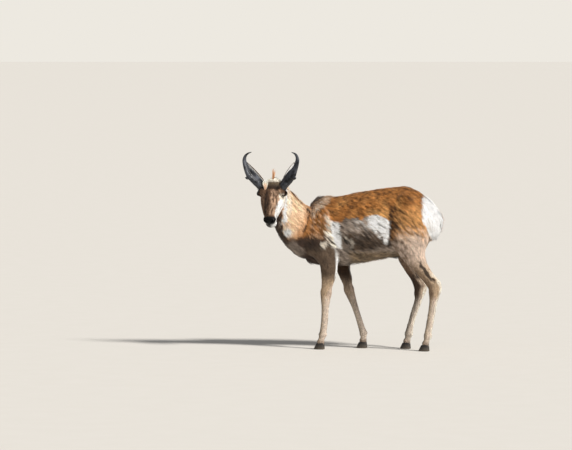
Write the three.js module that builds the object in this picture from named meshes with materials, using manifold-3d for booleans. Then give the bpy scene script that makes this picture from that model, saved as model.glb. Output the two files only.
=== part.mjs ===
// Pronghorn buck, life size, standing broadside with its head turned to its left.
// Millimetres, +Z up. The animal faces -X and its left side is towards -Y.
// Every body part is a skin of rings set on named stations along a path.
import * as THREE from "three";
import { mergeVertices } from "three/addons/utils/BufferGeometryUtils.js";
import Module from "manifold-3d";

const wasm = await Module();
wasm.setup();

// Driving dimensions
const PART_GAP = 0.3;
const LEG_TO_NECK_GAP = 3;
const WITHERS_HEIGHT = 893;
const CROUP_HEIGHT = 947;
const CHEST_FLOOR_HEIGHT = 489;
const BODY_HALF_WIDTH = 146;
const HEAD_LENGTH = 289;
const HEAD_PITCH = THREE.MathUtils.degToRad(60);
const EYE_LEVEL = new THREE.Vector3(-554, -250, 911);
const EYE_STATION = 105;
const EYE_RISE = 15;
const EYE_HALF_SPAN = 69;
const EYE_RADIUS = 19;
const HOOF_LENGTH = 60;
const HOOF_WIDTH = 25;
const HOOF_HEIGHT = 38;
const CLAW_HALF_SPREAD = 14.5;
const LID_THICKNESS = 4.6;
const LID_STAND = 8;
const LID_OPENING = { long: 1.16, high: 0.84, slant: 0.35, forward: 0.3 };
const LOCK_THICKNESS = 5;
const LOCK_SINK = 9;
const RUMP_LOCK_LENGTH = 62;
const WITHERS_LOCK_LENGTH = 66;
const MANE_LOCK_LENGTH = 52;
const CREST_TUFT_LENGTH = 80;
const CREST_TUFT_WIDTH = 18;
const CREST_TUFT_LIFT = 8;
const COAT_SEED = 20611;

// Ways to turn a grid into a closed body and back

const solidOf = (geometry) => {
  const bare = geometry.clone();
  bare.deleteAttribute("normal");
  bare.deleteAttribute("uv");
  const merged = mergeVertices(bare, 1e-4);
  const vertProperties = new Float32Array(merged.attributes.position.array);
  const triVerts = new Uint32Array(merged.index.array);
  const mesh = new wasm.Mesh({ numProp: 3, vertProperties, triVerts });
  const solid = new wasm.Manifold(mesh);
  if (solid.volume() > 0) {
    return solid;
  }
  for (let corner = 0; corner < triVerts.length; corner += 3) {
    const second = triVerts[corner + 1];
    triVerts[corner + 1] = triVerts[corner + 2];
    triVerts[corner + 2] = second;
  }
  return new wasm.Manifold(new wasm.Mesh({ numProp: 3, vertProperties, triVerts }));
};

const largestPiece = (solid) => {
  const pieces = solid.decompose();
  let largest = pieces[0];
  for (const piece of pieces) {
    if (piece.volume() > largest.volume()) {
      largest = piece;
    }
  }
  return largest;
};

const geometryOf = (solid) => {
  const mesh = solid.getMesh();
  const stride = mesh.numProp;
  const count = mesh.vertProperties.length / stride;
  const positions = new Float32Array(count * 3);
  for (let vertex = 0; vertex < count; vertex += 1) {
    for (let axis = 0; axis < 3; axis += 1) {
      positions[vertex * 3 + axis] = mesh.vertProperties[vertex * stride + axis];
    }
  }
  const geometry = new THREE.BufferGeometry();
  geometry.setAttribute("position", new THREE.BufferAttribute(positions, 3));
  geometry.setIndex(new THREE.BufferAttribute(new Uint32Array(mesh.triVerts), 1));
  geometry.computeVertexNormals();
  return geometry;
};

// A sphere's grid whose every vertex is moved to place(angle, way), way running 0 to 1 from pole to pole
const shapedSphere = (around, along, place) => {
  const geometry = new THREE.SphereGeometry(1, around, along);
  const { position, uv } = geometry.attributes;
  for (let vertex = 0; vertex < position.count; vertex += 1) {
    const angle = uv.getX(vertex) * Math.PI * 2;
    const way = 1 - uv.getY(vertex);
    const point = place(angle, way);
    position.setXYZ(vertex, point.x, point.y, point.z);
  }
  return solidOf(geometry);
};

const isPole = (way) => way < 1e-6 || way > 1 - 1e-6;

// The value at a place between rows of numbers, along a smooth curve through all rows
const smoothRow = (rows, way) => {
  const last = rows.length - 1;
  const place = Math.min(Math.max(way, 0), 1) * last;
  const index = Math.min(Math.floor(place), last - 1);
  const part = place - index;
  const before = rows[Math.max(index - 1, 0)];
  const start = rows[index];
  const end = rows[index + 1];
  const after = rows[Math.min(index + 2, last)];
  return start.map((value, column) => {
    const leave = (end[column] - before[column]) / 2;
    const arrive = (after[column] - value) / 2;
    const change = end[column] - value;
    const square = 3 * change - 2 * leave - arrive;
    const cube = leave + arrive - 2 * change;
    return value + part * (leave + part * (square + part * cube));
  });
};

// One ring point: round-cornered oval with its own reach up and down
const ringOffset = (angle, side, up, down, fullness) => {
  const across = Math.cos(angle);
  const rise = Math.sin(angle);
  const reach = rise > 0 ? up : down;
  return [
    side * Math.sign(across) * Math.abs(across) ** fullness,
    reach * Math.sign(rise) * Math.abs(rise) ** fullness,
  ];
};

// Rings along a path. A station is [x, y, z, side, up, down, refX, refY, refZ],
// and its last three numbers say where up is
const ringSkin = (stations, { around, along, fullness = 0.9, grow = 0, facing = null }) => {
  const centreAt = (way) => new THREE.Vector3(...smoothRow(stations, way).slice(0, 3));
  const frameAt = (way) => {
    const step = 0.01;
    const tangent = facing ?? centreAt(way + step).sub(centreAt(way - step)).normalize();
    const row = smoothRow(stations, way);
    const reference = new THREE.Vector3(row[6], row[7], row[8]);
    const side = new THREE.Vector3().crossVectors(tangent, reference).normalize();
    const up = new THREE.Vector3().crossVectors(side, tangent);
    return { tangent, side, up, row };
  };
  const pointAt = (angle, way) => {
    const { tangent, side, up, row } = frameAt(way);
    const centre = new THREE.Vector3(row[0], row[1], row[2]);
    if (isPole(way)) {
      return centre.addScaledVector(tangent, way < 0.5 ? -grow : grow);
    }
    const [across, rise] = ringOffset(angle, row[3] + grow, row[4] + grow, row[5] + grow, fullness);
    return centre.addScaledVector(side, across).addScaledVector(up, rise);
  };
  return { solid: shapedSphere(around, along, pointAt), pointAt, stations };
};

const withReference = (stations, reference) => stations.map((station) => [...station, ...reference]);

// Frame of the head: along the muzzle, to the animal's left, and out of the forehead

const headPoint = (along, side, out) => {
  const nose = new THREE.Vector3(0, -Math.cos(HEAD_PITCH), -Math.sin(HEAD_PITCH));
  const dorsal = new THREE.Vector3(0, -Math.sin(HEAD_PITCH), Math.cos(HEAD_PITCH));
  return EYE_LEVEL.clone()
    .addScaledVector(nose, along - EYE_STATION)
    .addScaledVector(new THREE.Vector3(1, 0, 0), side)
    .addScaledVector(dorsal, out - EYE_RISE);
};

// A point near the head by its distance to the animal's left, its height, and how far in front of the eyes
const frontPoint = (side, height, forward) => (
  new THREE.Vector3(EYE_LEVEL.x + side, EYE_LEVEL.y - forward, height)
);

// Locks: flat, tapered and bent, rooted under the skin and lying along the coat

const seededDraw = (seed) => {
  let state = seed;
  return () => {
    state = (state * 1664525 + 1013904223) % 4294967296;
    return state / 4294967296;
  };
};

const lockSolid = (lock, grow = 0) => {
  const across = new THREE.Vector3().crossVectors(lock.lie, lock.out).normalize();
  return shapedSphere(5, 4, (angle, way) => {
    const taper = Math.min(1, way * 5) * (1 - way) ** 0.65;
    const lift = lock.lift * way ** 1.5 - LOCK_SINK * (1 - way) ** 2;
    const centre = lock.root.clone()
      .addScaledVector(lock.lie, lock.length * way)
      .addScaledVector(lock.out, lift)
      .addScaledVector(across, lock.sway * way * way);
    if (isPole(way)) {
      return centre.addScaledVector(lock.lie, way < 0.5 ? -grow : grow);
    }
    const half = (lock.width / 2) * taper + grow;
    const thick = (LOCK_THICKNESS / 2) * Math.sqrt(taper) + grow;
    return centre
      .addScaledVector(across, half * Math.cos(angle))
      .addScaledVector(lock.out, thick * Math.sin(angle));
  });
};

const joinLocks = (body, locks, grow = 0) => (
  locks.reduce((joined, lock) => joined.add(lockSolid(lock, grow)), body)
);

// The outward direction of a ring skin at one place
const outwardAt = (skin, angle, way) => {
  const step = 0.01;
  const alongSkin = skin.pointAt(angle, way + step).sub(skin.pointAt(angle, way - step));
  const roundSkin = skin.pointAt(angle + step, way).sub(skin.pointAt(angle - step, way));
  const normal = new THREE.Vector3().crossVectors(alongSkin, roundSkin).normalize();
  const centre = new THREE.Vector3(...smoothRow(skin.stations, way).slice(0, 3));
  const away = skin.pointAt(angle, way).sub(centre);
  return normal.dot(away) < 0 ? normal.negate() : normal;
};

// A lock on a ring skin, its lie laid into the surface
const lockOn = (skin, { angle, way, towards, length, width, lift, sway }) => {
  const out = outwardAt(skin, angle, way);
  const lie = towards.clone().addScaledVector(out, -towards.dot(out)).normalize();
  return { root: skin.pointAt(angle, way), lie, out, length, width, lift, sway };
};

// Torso

const torsoStations = () => {
  const rows = [
    [-432, 634, 2, 2, 2],
    [-424, 636, 38, 56, 72],
    [-404, 648, 74, 110, 134],
    [-368, 662, 98, 192, 163],
    [-318, 668, 112, 212, 176],
    [-250, 672, 124, WITHERS_HEIGHT - 672, 672 - CHEST_FLOOR_HEIGHT],
    [-178, 676, 136, 221, 187],
    [-100, 682, 143, 230, 180],
    [-30, 690, BODY_HALF_WIDTH, 233, 176],
    [50, 704, 142, 232, 174],
    [118, 720, 134, 224, 172],
    [180, 732, 133, CROUP_HEIGHT - 732, 164],
    [232, 738, 130, 192, 146],
    [278, 741, 120, 163, 132],
    [314, 742, 106, 132, 116],
    [345, 742, 86, 104, 98],
    [368, 739, 60, 74, 72],
    [381, 737, 34, 40, 42],
    [386, 736, 2, 2, 2],
  ];
  return rows.map(([x, z, side, up, down]) => [x, 0, z, side, up, down, 0, 0, 1]);
};

const torsoSkin = (grow = 0) => ringSkin(torsoStations(), {
  around: 28, along: 34, grow, facing: new THREE.Vector3(1, 0, 0),
});

// Neck, bent to the animal's left

const neckStations = [
  [-270, 0, 684, 60, 90, 90, 0.1, 0, 1],
  [-330, -8, 684, 92, 140, 160, 0.1, 0, 1],
  [-385, -35, 686, 94, 134, 158, 0.15, 0.1, 1],
  [-432, -75, 722, 86, 122, 140, 0.35, 0.25, 1],
  [-480, -112, 786, 74, 94, 119, 0.5, 0.4, 1],
  [-519, -142, 864, 64, 76, 96, 0.45, 0.7, 0.8],
  [-544, -154, 926, 58, 60, 72, 0.25, 1, 0.5],
  [-553, -170, 960, 42, 36, 50, 0, 1, 0.35],
];

const neckSkin = (grow = 0) => ringSkin(neckStations, { around: 20, along: 20, grow });

// Head

const headStations = [
  [14, 0, 4, 4],
  [20, 34, 22, 30],
  [32, 50, 36, 56],
  [50, 62, 46, 82],
  [78, 66, 52, 90],
  [105, 68, 50, 88],
  [135, 70, 42, 80],
  [165, 65, 34, 73],
  [195, 56, 27, 66],
  [222, 47, 21, 60],
  [246, 36, 17, 58],
  [265, 34, 12, 53],
  [280, 27, 5, 38],
  [HEAD_LENGTH, 3, -12, 16],
];

const headSkin = (grow = 0) => shapedSphere(24, 28, (angle, way) => {
  const [along, side, top, bottom] = smoothRow(headStations, way);
  const middle = (top - bottom) / 2;
  const half = (top + bottom) / 2;
  const [across, rise] = ringOffset(angle, side + grow, half + grow, half + grow, 0.88);
  const end = way < 0.5 ? -grow : grow;
  return isPole(way) ? headPoint(along + end, 0, middle) : headPoint(along, across, middle + rise);
});

const mirrorSides = { left: 1, right: -1 };

const ball = (centre, radii, around = 12, along = 8) => {
  const geometry = new THREE.SphereGeometry(1, around, along);
  geometry.scale(...radii);
  geometry.translate(centre.x, centre.y, centre.z);
  return solidOf(geometry);
};

const orbitMass = (sign, grow = 0) => (
  ball(headPoint(EYE_STATION - 5, sign * 57, EYE_RISE + 4), [29 + grow, 27 + grow, 27 + grow])
);
const eyeBall = (sign, grow = 0) => {
  const radius = EYE_RADIUS + grow;
  return ball(headPoint(EYE_STATION, sign * EYE_HALF_SPAN, EYE_RISE), [radius, radius, radius]);
};

// Horns: a flat blade that leans forward and out, throws a prong forward and hooks in at the tip

// The direction in which each blade is wide, and how far its prong reaches, by the sign of its side
const HORN_FLAT = { "1": [0.95, -0.8, -0.3], "-1": [-0.45, -1, -0.35] };
const PRONG_REACH = { "1": 1, "-1": 0.78 };
const PRONG_ROOT = { side: 106, forward: 12 };

const hornStations = (sign) => [
  [50, 926, -8, 14, 22],
  [62, 948, -2, 19, 29],
  [80, 971, 6, 19, 32],
  [103, 997, 16, 18, 35],
  [125, 1023, 25, 16, 33],
  [141, 1050, 31, 13, 22],
  [152, 1078, 31, 11, 16],
  [157, 1104, 29, 9, 13],
  [152, 1126, 24, 7, 10],
  [138, 1141, 18, 5, 7],
  [118, 1149, 12, 1.5, 2],
].map(([side, height, forward, thick, wide]) => {
  const centre = frontPoint(sign * side, height, forward);
  return [centre.x, centre.y, centre.z, thick, wide, wide, ...HORN_FLAT[sign]];
});

const prongStations = (sign) => [
  [106, 1004, 12, 10, 14],
  [121, 1005, 26, 11, 17],
  [135, 1003, 42, 10, 14],
  [148, 1001, 55, 7, 9],
  [158, 1003, 64, 1.5, 2],
].map(([side, height, forward, thick, wide]) => {
  const out = PRONG_ROOT.side + (side - PRONG_ROOT.side) * PRONG_REACH[sign];
  const ahead = PRONG_ROOT.forward + (forward - PRONG_ROOT.forward) * PRONG_REACH[sign];
  const centre = frontPoint(sign * out, height, ahead);
  return [centre.x, centre.y, centre.z, thick, wide, wide, 0, 0, 1];
});

const hornSolid = (sign, grow = 0) => {
  const blade = ringSkin(hornStations(sign), { around: 10, along: 18, grow }).solid;
  const prong = ringSkin(prongStations(sign), { around: 8, along: 6, grow }).solid;
  return blade.add(prong);
};

// Ears: a pointed leaf with a cup, held up behind the horns

const EAR_HALF_WIDTH = 24;
const EAR_WALL = 4;
const EAR_BOW = 5;
const EAR_CUP_START = 30;
const EAR_CUP_LENGTH_LOSS = 42;
const EAR_CUP_OFFSET = 16;
const EAR_ROOT = { spread: 50, height: 961, forward: -49 };
const EAR_TIP = { height: 1090, forward: -62 };
const EAR_TIP_SPREAD = { left: 118, right: 168 };

// Half the ear's width at a place along it: widest below the middle, pointed at the tip
const earHalfWidth = (way, widest) => widest * Math.sin(Math.PI * way ** 0.8) ** 0.75;

const earSolid = (sign, tipSpread) => {
  const root = frontPoint(sign * EAR_ROOT.spread, EAR_ROOT.height, EAR_ROOT.forward);
  const tip = frontPoint(sign * tipSpread, EAR_TIP.height, EAR_TIP.forward);
  const axis = tip.clone().sub(root).normalize();
  const opening = new THREE.Vector3(sign * 0.8, -0.6, 0).normalize();
  const across = new THREE.Vector3().crossVectors(axis, opening).normalize();
  const outward = new THREE.Vector3().crossVectors(across, axis).normalize();
  const length = tip.distanceTo(root);
  const leaf = shapedSphere(14, 12, (angle, way) => {
    const width = earHalfWidth(way, EAR_HALF_WIDTH);
    const bow = EAR_BOW * Math.sin(Math.PI * way);
    const point = root.clone().addScaledVector(axis, length * way);
    point.addScaledVector(across, width * Math.cos(angle));
    return point.addScaledVector(outward, bow + width * 0.4 * Math.sin(angle));
  });
  const cup = shapedSphere(12, 10, (angle, way) => {
    const width = earHalfWidth(way, EAR_HALF_WIDTH - EAR_WALL);
    const reach = EAR_CUP_START + (length - EAR_CUP_LENGTH_LOSS) * way;
    const point = root.clone().addScaledVector(axis, reach);
    point.addScaledVector(across, width * Math.cos(angle));
    return point.addScaledVector(outward, EAR_CUP_OFFSET + width * 0.62 * Math.sin(angle));
  });
  return leaf.subtract(cup);
};

// Legs: each station is [x, y, z, half across, half fore and aft]

const foreLeft = [
  [-286, -60, 826, 20, 28],
  [-300, -80, 786, 30, 58],
  [-318, -92, 716, 41, 86],
  [-312, -101, 640, 42, 94],
  [-278, -103, 576, 39, 78],
  [-256, -101, 515, 35, 56],
  [-251, -99, 450, 31, 47],
  [-259, -96, 396, 27, 37],
  [-265, -94, 360, 25, 32],
  [-269, -92, 334, 26, 34],
  [-272, -90, 300, 21, 30],
  [-276, -87, 240, 15.5, 22],
  [-281, -84, 160, 15, 21],
  [-289, -80, 108, 17, 20],
  [-293, -78, 86, 20, 23],
  [-299, -77, 64, 17, 18],
  [-305, -76, 44, 20, 21],
  [-308, -76, 26, 16, 16],
];

const foreRight = [
  [-286, 60, 826, 20, 28],
  [-300, 80, 786, 30, 58],
  [-316, 92, 716, 41, 86],
  [-300, 101, 640, 42, 92],
  [-256, 103, 576, 39, 72],
  [-223, 101, 512, 35, 49],
  [-206, 99, 450, 31, 39],
  [-190, 96, 402, 27, 33],
  [-182, 94, 370, 25, 28],
  [-175, 92, 344, 26, 31],
  [-162, 90, 306, 21, 26],
  [-137, 87, 240, 15.5, 19],
  [-110, 84, 160, 15, 18],
  [-92, 80, 108, 17, 20],
  [-85, 78, 86, 20, 23],
  [-84, 77, 64, 17, 18],
  [-86, 76, 44, 20, 21],
  [-88, 76, 26, 16, 16],
];

const hindLeft = [
  [196, -38, 890, 26, 44],
  [204, -66, 846, 38, 82],
  [214, -84, 776, 50, 112],
  [222, -94, 704, 52, 120],
  [230, -98, 642, 50, 110],
  [242, -100, 586, 44, 84],
  [264, -101, 530, 36, 58],
  [297, -100, 476, 29, 42],
  [336, -98, 426, 25, 37],
  [371, -96, 382, 24, 41],
  [372, -94, 340, 23, 35],
  [365, -92, 290, 18, 25],
  [354, -89, 220, 16, 22],
  [341, -86, 150, 16, 21],
  [333, -83, 110, 18, 21],
  [330, -81, 88, 20, 24],
  [324, -80, 64, 17, 18],
  [317, -79, 44, 20, 21],
  [313, -79, 26, 16, 16],
];

const hindRight = [
  [196, 38, 890, 26, 44],
  [204, 66, 846, 38, 82],
  [210, 84, 776, 50, 112],
  [206, 94, 704, 52, 118],
  [193, 98, 642, 50, 106],
  [178, 100, 586, 44, 80],
  [177, 101, 530, 36, 58],
  [197, 100, 470, 29, 42],
  [227, 98, 412, 25, 34],
  [250, 96, 362, 24, 39],
  [246, 94, 326, 23, 33],
  [238, 92, 280, 18, 23],
  [216, 89, 214, 16, 20],
  [198, 86, 150, 16, 19],
  [189, 83, 110, 18, 21],
  [185, 81, 88, 20, 24],
  [180, 80, 64, 17, 18],
  [174, 79, 44, 20, 21],
  [171, 79, 26, 16, 16],
];

const legSkin = (rows, grow = 0) => {
  const stations = rows.map(([x, y, z, across, foreAft]) => (
    [x, y, z, across, foreAft, foreAft, 1, 0, 0]
  ));
  return ringSkin(stations, { around: 12, along: 30, fullness: 0.95, grow });
};

// Hooves: two pointed claws to a foot, flat on the ground

const clawSolid = (centreX, centreY, side, grow = 0) => {
  const half = HOOF_WIDTH / 2;
  const toe = -HOOF_LENGTH * 0.72;
  const heel = HOOF_LENGTH * 0.28;
  const bulge = -HOOF_LENGTH * 0.5;
  const outline = new THREE.Shape();
  outline.moveTo(0, -half * 0.9);
  outline.quadraticCurveTo(bulge, -half * 1.15, toe, -side * half * 0.3);
  outline.quadraticCurveTo(bulge, half * 1.15, 0, half * 0.9);
  outline.quadraticCurveTo(heel, half * 0.9, heel, 0);
  outline.quadraticCurveTo(heel, -half * 0.9, 0, -half * 0.9);
  const geometry = new THREE.ExtrudeGeometry(outline, {
    depth: HOOF_HEIGHT, steps: 2, bevelEnabled: false, curveSegments: 3,
  });
  const { position } = geometry.attributes;
  for (let vertex = 0; vertex < position.count; vertex += 1) {
    const rise = position.getZ(vertex) / HOOF_HEIGHT;
    const shrink = 1 - 0.24 * rise ** 1.3;
    const x = position.getX(vertex) * (shrink - 0.12 * rise) + 9 * rise;
    const y = position.getY(vertex) * shrink - side * 2.5 * rise;
    const spread = 1 + grow / half;
    position.setXYZ(
      vertex,
      centreX + x * (1 + grow / HOOF_LENGTH * 2),
      centreY + side * CLAW_HALF_SPREAD + y * spread,
      rise * (HOOF_HEIGHT + grow),
    );
  }
  return solidOf(geometry);
};

const feet = {
  fore_left: { x: -303, y: -76, rows: foreLeft },
  fore_right: { x: -83, y: 76, rows: foreRight },
  hind_left: { x: 318, y: -79, rows: hindLeft },
  hind_right: { x: 176, y: 79, rows: hindRight },
};

// Tail

const tailStations = withReference([
  [350, 0, 806, 14, 12, 12],
  [369, 0, 800, 20, 13, 14],
  [386, 0, 774, 24, 12, 12],
  [391, 0, 740, 23, 11, 10],
  [386, 0, 712, 16, 9, 8],
  [379, 0, 692, 2, 2, 2],
], [1, 0, 0.2]);

// Where the coat is long enough to stand out as locks

const RUMP_ROWS = [0.8, 0.845, 0.885, 0.92, 0.95];
const RUMP_FIRST_ROW_LOCKS = 11;
const RUMP_LOCK_WIDTH = 27;
const RUMP_LOCK_LIFT = 11;
const WITHERS_ROWS = [0.21, 0.25, 0.29, 0.325];
const WITHERS_ROW_LOCKS = 5;
const WITHERS_LOCK_WIDTH = 26;
const WITHERS_LOCK_LIFT = 13;
const MANE_PAIRS = 9;
const MANE_TOP = 0.84;
const MANE_PITCH = 0.058;
const MANE_LOCK_WIDTH = 22;
const MANE_LOCK_LIFT = 14;
const CREST_TUFTS = [-22, -7, 8, 21];
const CREST_TALLEST = -7;

// Draws a number that lies evenly about 0, half a spread to each side
const scattered = (draw, spread) => spread * (draw() - 0.5);

const rumpLocks = (skin) => {
  const draw = seededDraw(COAT_SEED);
  const locks = [];
  RUMP_ROWS.forEach((way, row) => {
    const count = RUMP_FIRST_ROW_LOCKS - row;
    for (let index = 0; index < count; index += 1) {
      const spread = (index + 0.5 + scattered(draw, 0.3)) / count;
      const angle = -0.2 * Math.PI + 1.4 * Math.PI * spread;
      const place = skin.pointAt(angle, way);
      const besideTail = Math.abs(place.y) < 30 && place.z < 830;
      const towards = new THREE.Vector3(1, Math.sign(place.y) * 0.35, -0.55 + scattered(draw, 0.3));
      const size = 0.85 + 0.3 * draw();
      if (!besideTail) {
        locks.push(lockOn(skin, {
          angle,
          way,
          towards,
          length: RUMP_LOCK_LENGTH * size,
          width: RUMP_LOCK_WIDTH,
          lift: RUMP_LOCK_LIFT,
          sway: scattered(draw, 8),
        }));
      }
    }
  });
  return locks;
};

const withersLocks = (skin) => {
  const draw = seededDraw(COAT_SEED + 1);
  const locks = [];
  for (const way of WITHERS_ROWS) {
    for (let index = 0; index < WITHERS_ROW_LOCKS; index += 1) {
      const angle = Math.PI * (0.27 + 0.46 * (index + 0.5 + scattered(draw, 0.5)) / WITHERS_ROW_LOCKS);
      const place = skin.pointAt(angle, way);
      const towards = new THREE.Vector3(1, Math.sign(place.y) * (0.3 + 0.5 * draw()), -0.4);
      locks.push(lockOn(skin, {
        angle,
        way,
        towards,
        length: WITHERS_LOCK_LENGTH * (1 + scattered(draw, 0.4)),
        width: WITHERS_LOCK_WIDTH,
        lift: WITHERS_LOCK_LIFT,
        sway: scattered(draw, 16),
      }));
    }
  }
  return locks;
};

const maneLocks = (skin) => {
  const draw = seededDraw(COAT_SEED + 2);
  const locks = [];
  for (let row = 0; row < MANE_PAIRS; row += 1) {
    for (const offset of [-0.1, 0.1]) {
      const way = MANE_TOP - MANE_PITCH * row;
      const angle = Math.PI * (0.5 + offset + scattered(draw, 0.05));
      const back = skin.pointAt(angle, way - 0.06).sub(skin.pointAt(angle, way));
      locks.push(lockOn(skin, {
        angle,
        way,
        towards: back,
        length: MANE_LOCK_LENGTH * (1 + scattered(draw, 0.3)),
        width: MANE_LOCK_WIDTH,
        lift: MANE_LOCK_LIFT,
        sway: scattered(draw, 10),
      }));
    }
  }
  return locks;
};

const crestTuft = () => {
  const draw = seededDraw(COAT_SEED + 3);
  return CREST_TUFTS.map((side) => ({
    root: headPoint(34, side, 30),
    lie: new THREE.Vector3(0.012 * side + scattered(draw, 0.06), 0.34, 1).normalize(),
    out: new THREE.Vector3(0, 1, -0.34).normalize(),
    length: CREST_TUFT_LENGTH * (side === CREST_TALLEST ? 1 : 0.5),
    width: CREST_TUFT_WIDTH,
    lift: CREST_TUFT_LIFT,
    sway: scattered(draw, 4),
  }));
};

// Face: orbits with lids, nostrils, the line of the mouth and the chin

const lidRing = (sign, grow = 0) => {
  const ring = new THREE.TorusGeometry(EYE_RADIUS - 1, LID_THICKNESS + grow, 5, 14);
  ring.scale(LID_OPENING.long, LID_OPENING.high, 1);
  ring.rotateX(HEAD_PITCH - LID_OPENING.slant);
  ring.rotateY(sign * (Math.PI / 2 - LID_OPENING.forward));
  const centre = headPoint(EYE_STATION + 3, sign * (EYE_HALF_SPAN + LID_STAND), EYE_RISE + 1);
  ring.translate(centre.x, centre.y, centre.z);
  return solidOf(ring);
};

const headPocket = (along, side, out, radii) => shapedSphere(8, 6, (angle, way) => {
  const round = Math.sin(Math.PI * way);
  return headPoint(
    along + radii[0] * Math.cos(Math.PI * way),
    side + radii[1] * round * Math.cos(angle),
    out + radii[2] * round * Math.sin(angle),
  );
});

const nostril = (sign) => headPocket(281, sign * 14, -3, [9, 5, 3.6]);
const mouthLine = (sign) => headPocket(246, sign * 39, -34, [34, 11, 2.2]);
const chin = () => headPocket(264, 0, -56, [27, 34, 20]);

// Materials

const paint = (color, roughness) => new THREE.MeshStandardMaterial({ color, roughness, metalness: 0 });
const tanCoat = paint("#a9703f", 0.9);
const neckCoat = paint("#c98f5c", 0.9);
const faceCoat = paint("#6e4a33", 0.85);
const legCoat = paint("#b08a6a", 0.9);
const whiteHair = paint("#f1ece2", 0.95);
const hornBlack = paint("#1c1b1f", 0.45);
const hoofBlack = paint("#191716", 0.5);
const eyeBlack = paint("#0c0908", 0.1);

// Assembly

const group = new THREE.Group();

const addNode = (name, solid, material) => {
  const mesh = new THREE.Mesh(geometryOf(largestPiece(solid)), material.clone());
  mesh.name = name;
  group.add(mesh);
};

const torsoBase = torsoSkin();
const torsoLocks = [...rumpLocks(torsoBase), ...withersLocks(torsoBase)];
const torsoGrown = joinLocks(torsoSkin(PART_GAP).solid, torsoLocks, PART_GAP);
const neckBase = neckSkin();
const neckLocks = maneLocks(neckBase);
const neckGrown = joinLocks(neckSkin(PART_GAP).solid, neckLocks, PART_GAP);
const neckClear = neckSkin(LEG_TO_NECK_GAP).solid;

addNode("torso", joinLocks(torsoBase.solid, torsoLocks), tanCoat);
addNode("neck", joinLocks(neckBase.solid, neckLocks).subtract(torsoGrown), neckCoat);

const headMass = (grow = 0) => Object.values(mirrorSides).reduce(
  (mass, sign) => mass.add(orbitMass(sign, grow)).add(lidRing(sign, grow)),
  headSkin(grow).add(chin()),
);
const headGrown = joinLocks(headMass(PART_GAP), crestTuft(), PART_GAP);
let head = joinLocks(headMass(), crestTuft());
for (const sign of Object.values(mirrorSides)) {
  head = head.subtract(nostril(sign)).subtract(mouthLine(sign)).subtract(eyeBall(sign, PART_GAP));
}
addNode("head", head.subtract(neckGrown), faceCoat);

for (const [name, sign] of Object.entries(mirrorSides)) {
  addNode(`eye_${name}`, eyeBall(sign), eyeBlack);
  const ear = earSolid(sign, EAR_TIP_SPREAD[name])
    .subtract(headGrown).subtract(neckGrown).subtract(hornSolid(sign, PART_GAP));
  addNode(`horn_${name}`, hornSolid(sign).subtract(headGrown).subtract(neckGrown), hornBlack);
  addNode(`ear_${name}`, ear, tanCoat);
}

const tail = ringSkin(tailStations, { around: 12, along: 12 }).solid;
addNode("tail", tail.subtract(torsoGrown), whiteHair);

for (const [name, foot] of Object.entries(feet)) {
  let leg = legSkin(foot.rows).solid.subtract(torsoGrown).subtract(neckClear);
  for (const side of [1, -1]) {
    const edge = side === Math.sign(foot.y) ? "outer" : "inner";
    leg = leg.subtract(clawSolid(foot.x, foot.y, side, PART_GAP));
    addNode(`hoof_${name}_${edge}`, clawSolid(foot.x, foot.y, side), hoofBlack);
  }
  addNode(`leg_${name}`, leg, legCoat);
}

// The whole stands with the middle of its footprint box at the origin
const extent = new THREE.Box3().setFromObject(group);
const middle = extent.getCenter(new THREE.Vector3());
group.position.set(-middle.x, -middle.y, -extent.min.z);
group.updateMatrixWorld(true);

export default group;
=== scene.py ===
"""A pronghorn buck, life size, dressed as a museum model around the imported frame.

Shapes are worked out in the animal's own frame: millimetres, +Z up, the animal faces -X and
its left side is towards -Y. Placement turns them into metres in the row frame.
"""
import logging
import math
from dataclasses import dataclass, field, fields, replace
from enum import Enum
from itertools import product
from typing import Callable

import bpy
import numpy as np
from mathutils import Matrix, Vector
from numpy.typing import NDArray


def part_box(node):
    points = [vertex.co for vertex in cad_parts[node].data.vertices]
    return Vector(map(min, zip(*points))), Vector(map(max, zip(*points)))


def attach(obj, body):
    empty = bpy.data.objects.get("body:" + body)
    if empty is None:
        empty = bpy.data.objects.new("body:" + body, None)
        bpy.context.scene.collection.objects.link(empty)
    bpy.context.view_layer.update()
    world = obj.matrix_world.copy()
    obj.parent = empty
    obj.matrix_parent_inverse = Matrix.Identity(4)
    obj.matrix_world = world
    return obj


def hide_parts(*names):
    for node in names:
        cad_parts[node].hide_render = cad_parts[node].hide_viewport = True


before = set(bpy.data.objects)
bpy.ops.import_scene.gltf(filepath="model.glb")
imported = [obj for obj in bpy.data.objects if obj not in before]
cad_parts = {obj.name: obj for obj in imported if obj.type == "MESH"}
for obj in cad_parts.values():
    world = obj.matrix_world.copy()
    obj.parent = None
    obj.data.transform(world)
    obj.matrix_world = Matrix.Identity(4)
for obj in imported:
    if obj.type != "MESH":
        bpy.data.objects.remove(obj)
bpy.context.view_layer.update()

Array = NDArray[np.float64]
Grid = NDArray[np.float32]
Index = NDArray[np.int64]

log = logging.getLogger("pronghorn")

PHOTO_WIDTH = 572
MM_PER_M = 1000

# How far, in mm, one part's growth, lie and colour reach into the next
GROWTH_BLEND, LIE_BLEND, COLOUR_BLEND = 14, 22, 5
SLIGHT_WEIGHT = 0.004

STREAK_STRETCH = 3.4
# painted shade: the hide under the tufts is darkened so that the gaps read as shadow
HIDE_SHADE = 0.72
SEARCH_BLOCK = 200000
EAR_SEED = 7
LOCK_SEEDS = (300, 10)
FLESH = (
    "torso", "neck", "head", "tail", "ear_left", "ear_right",
    "leg_fore_left", "leg_fore_right", "leg_hind_left", "leg_hind_right",
)


class Side(Enum):
    """The animal's own left and right, with the sign that each has across the head."""

    LEFT = 1
    RIGHT = -1

    @property
    def word(self) -> str:
        """The side's name as the frame's nodes spell it."""
        return self.name.lower()


# Numbers and colours


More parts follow.
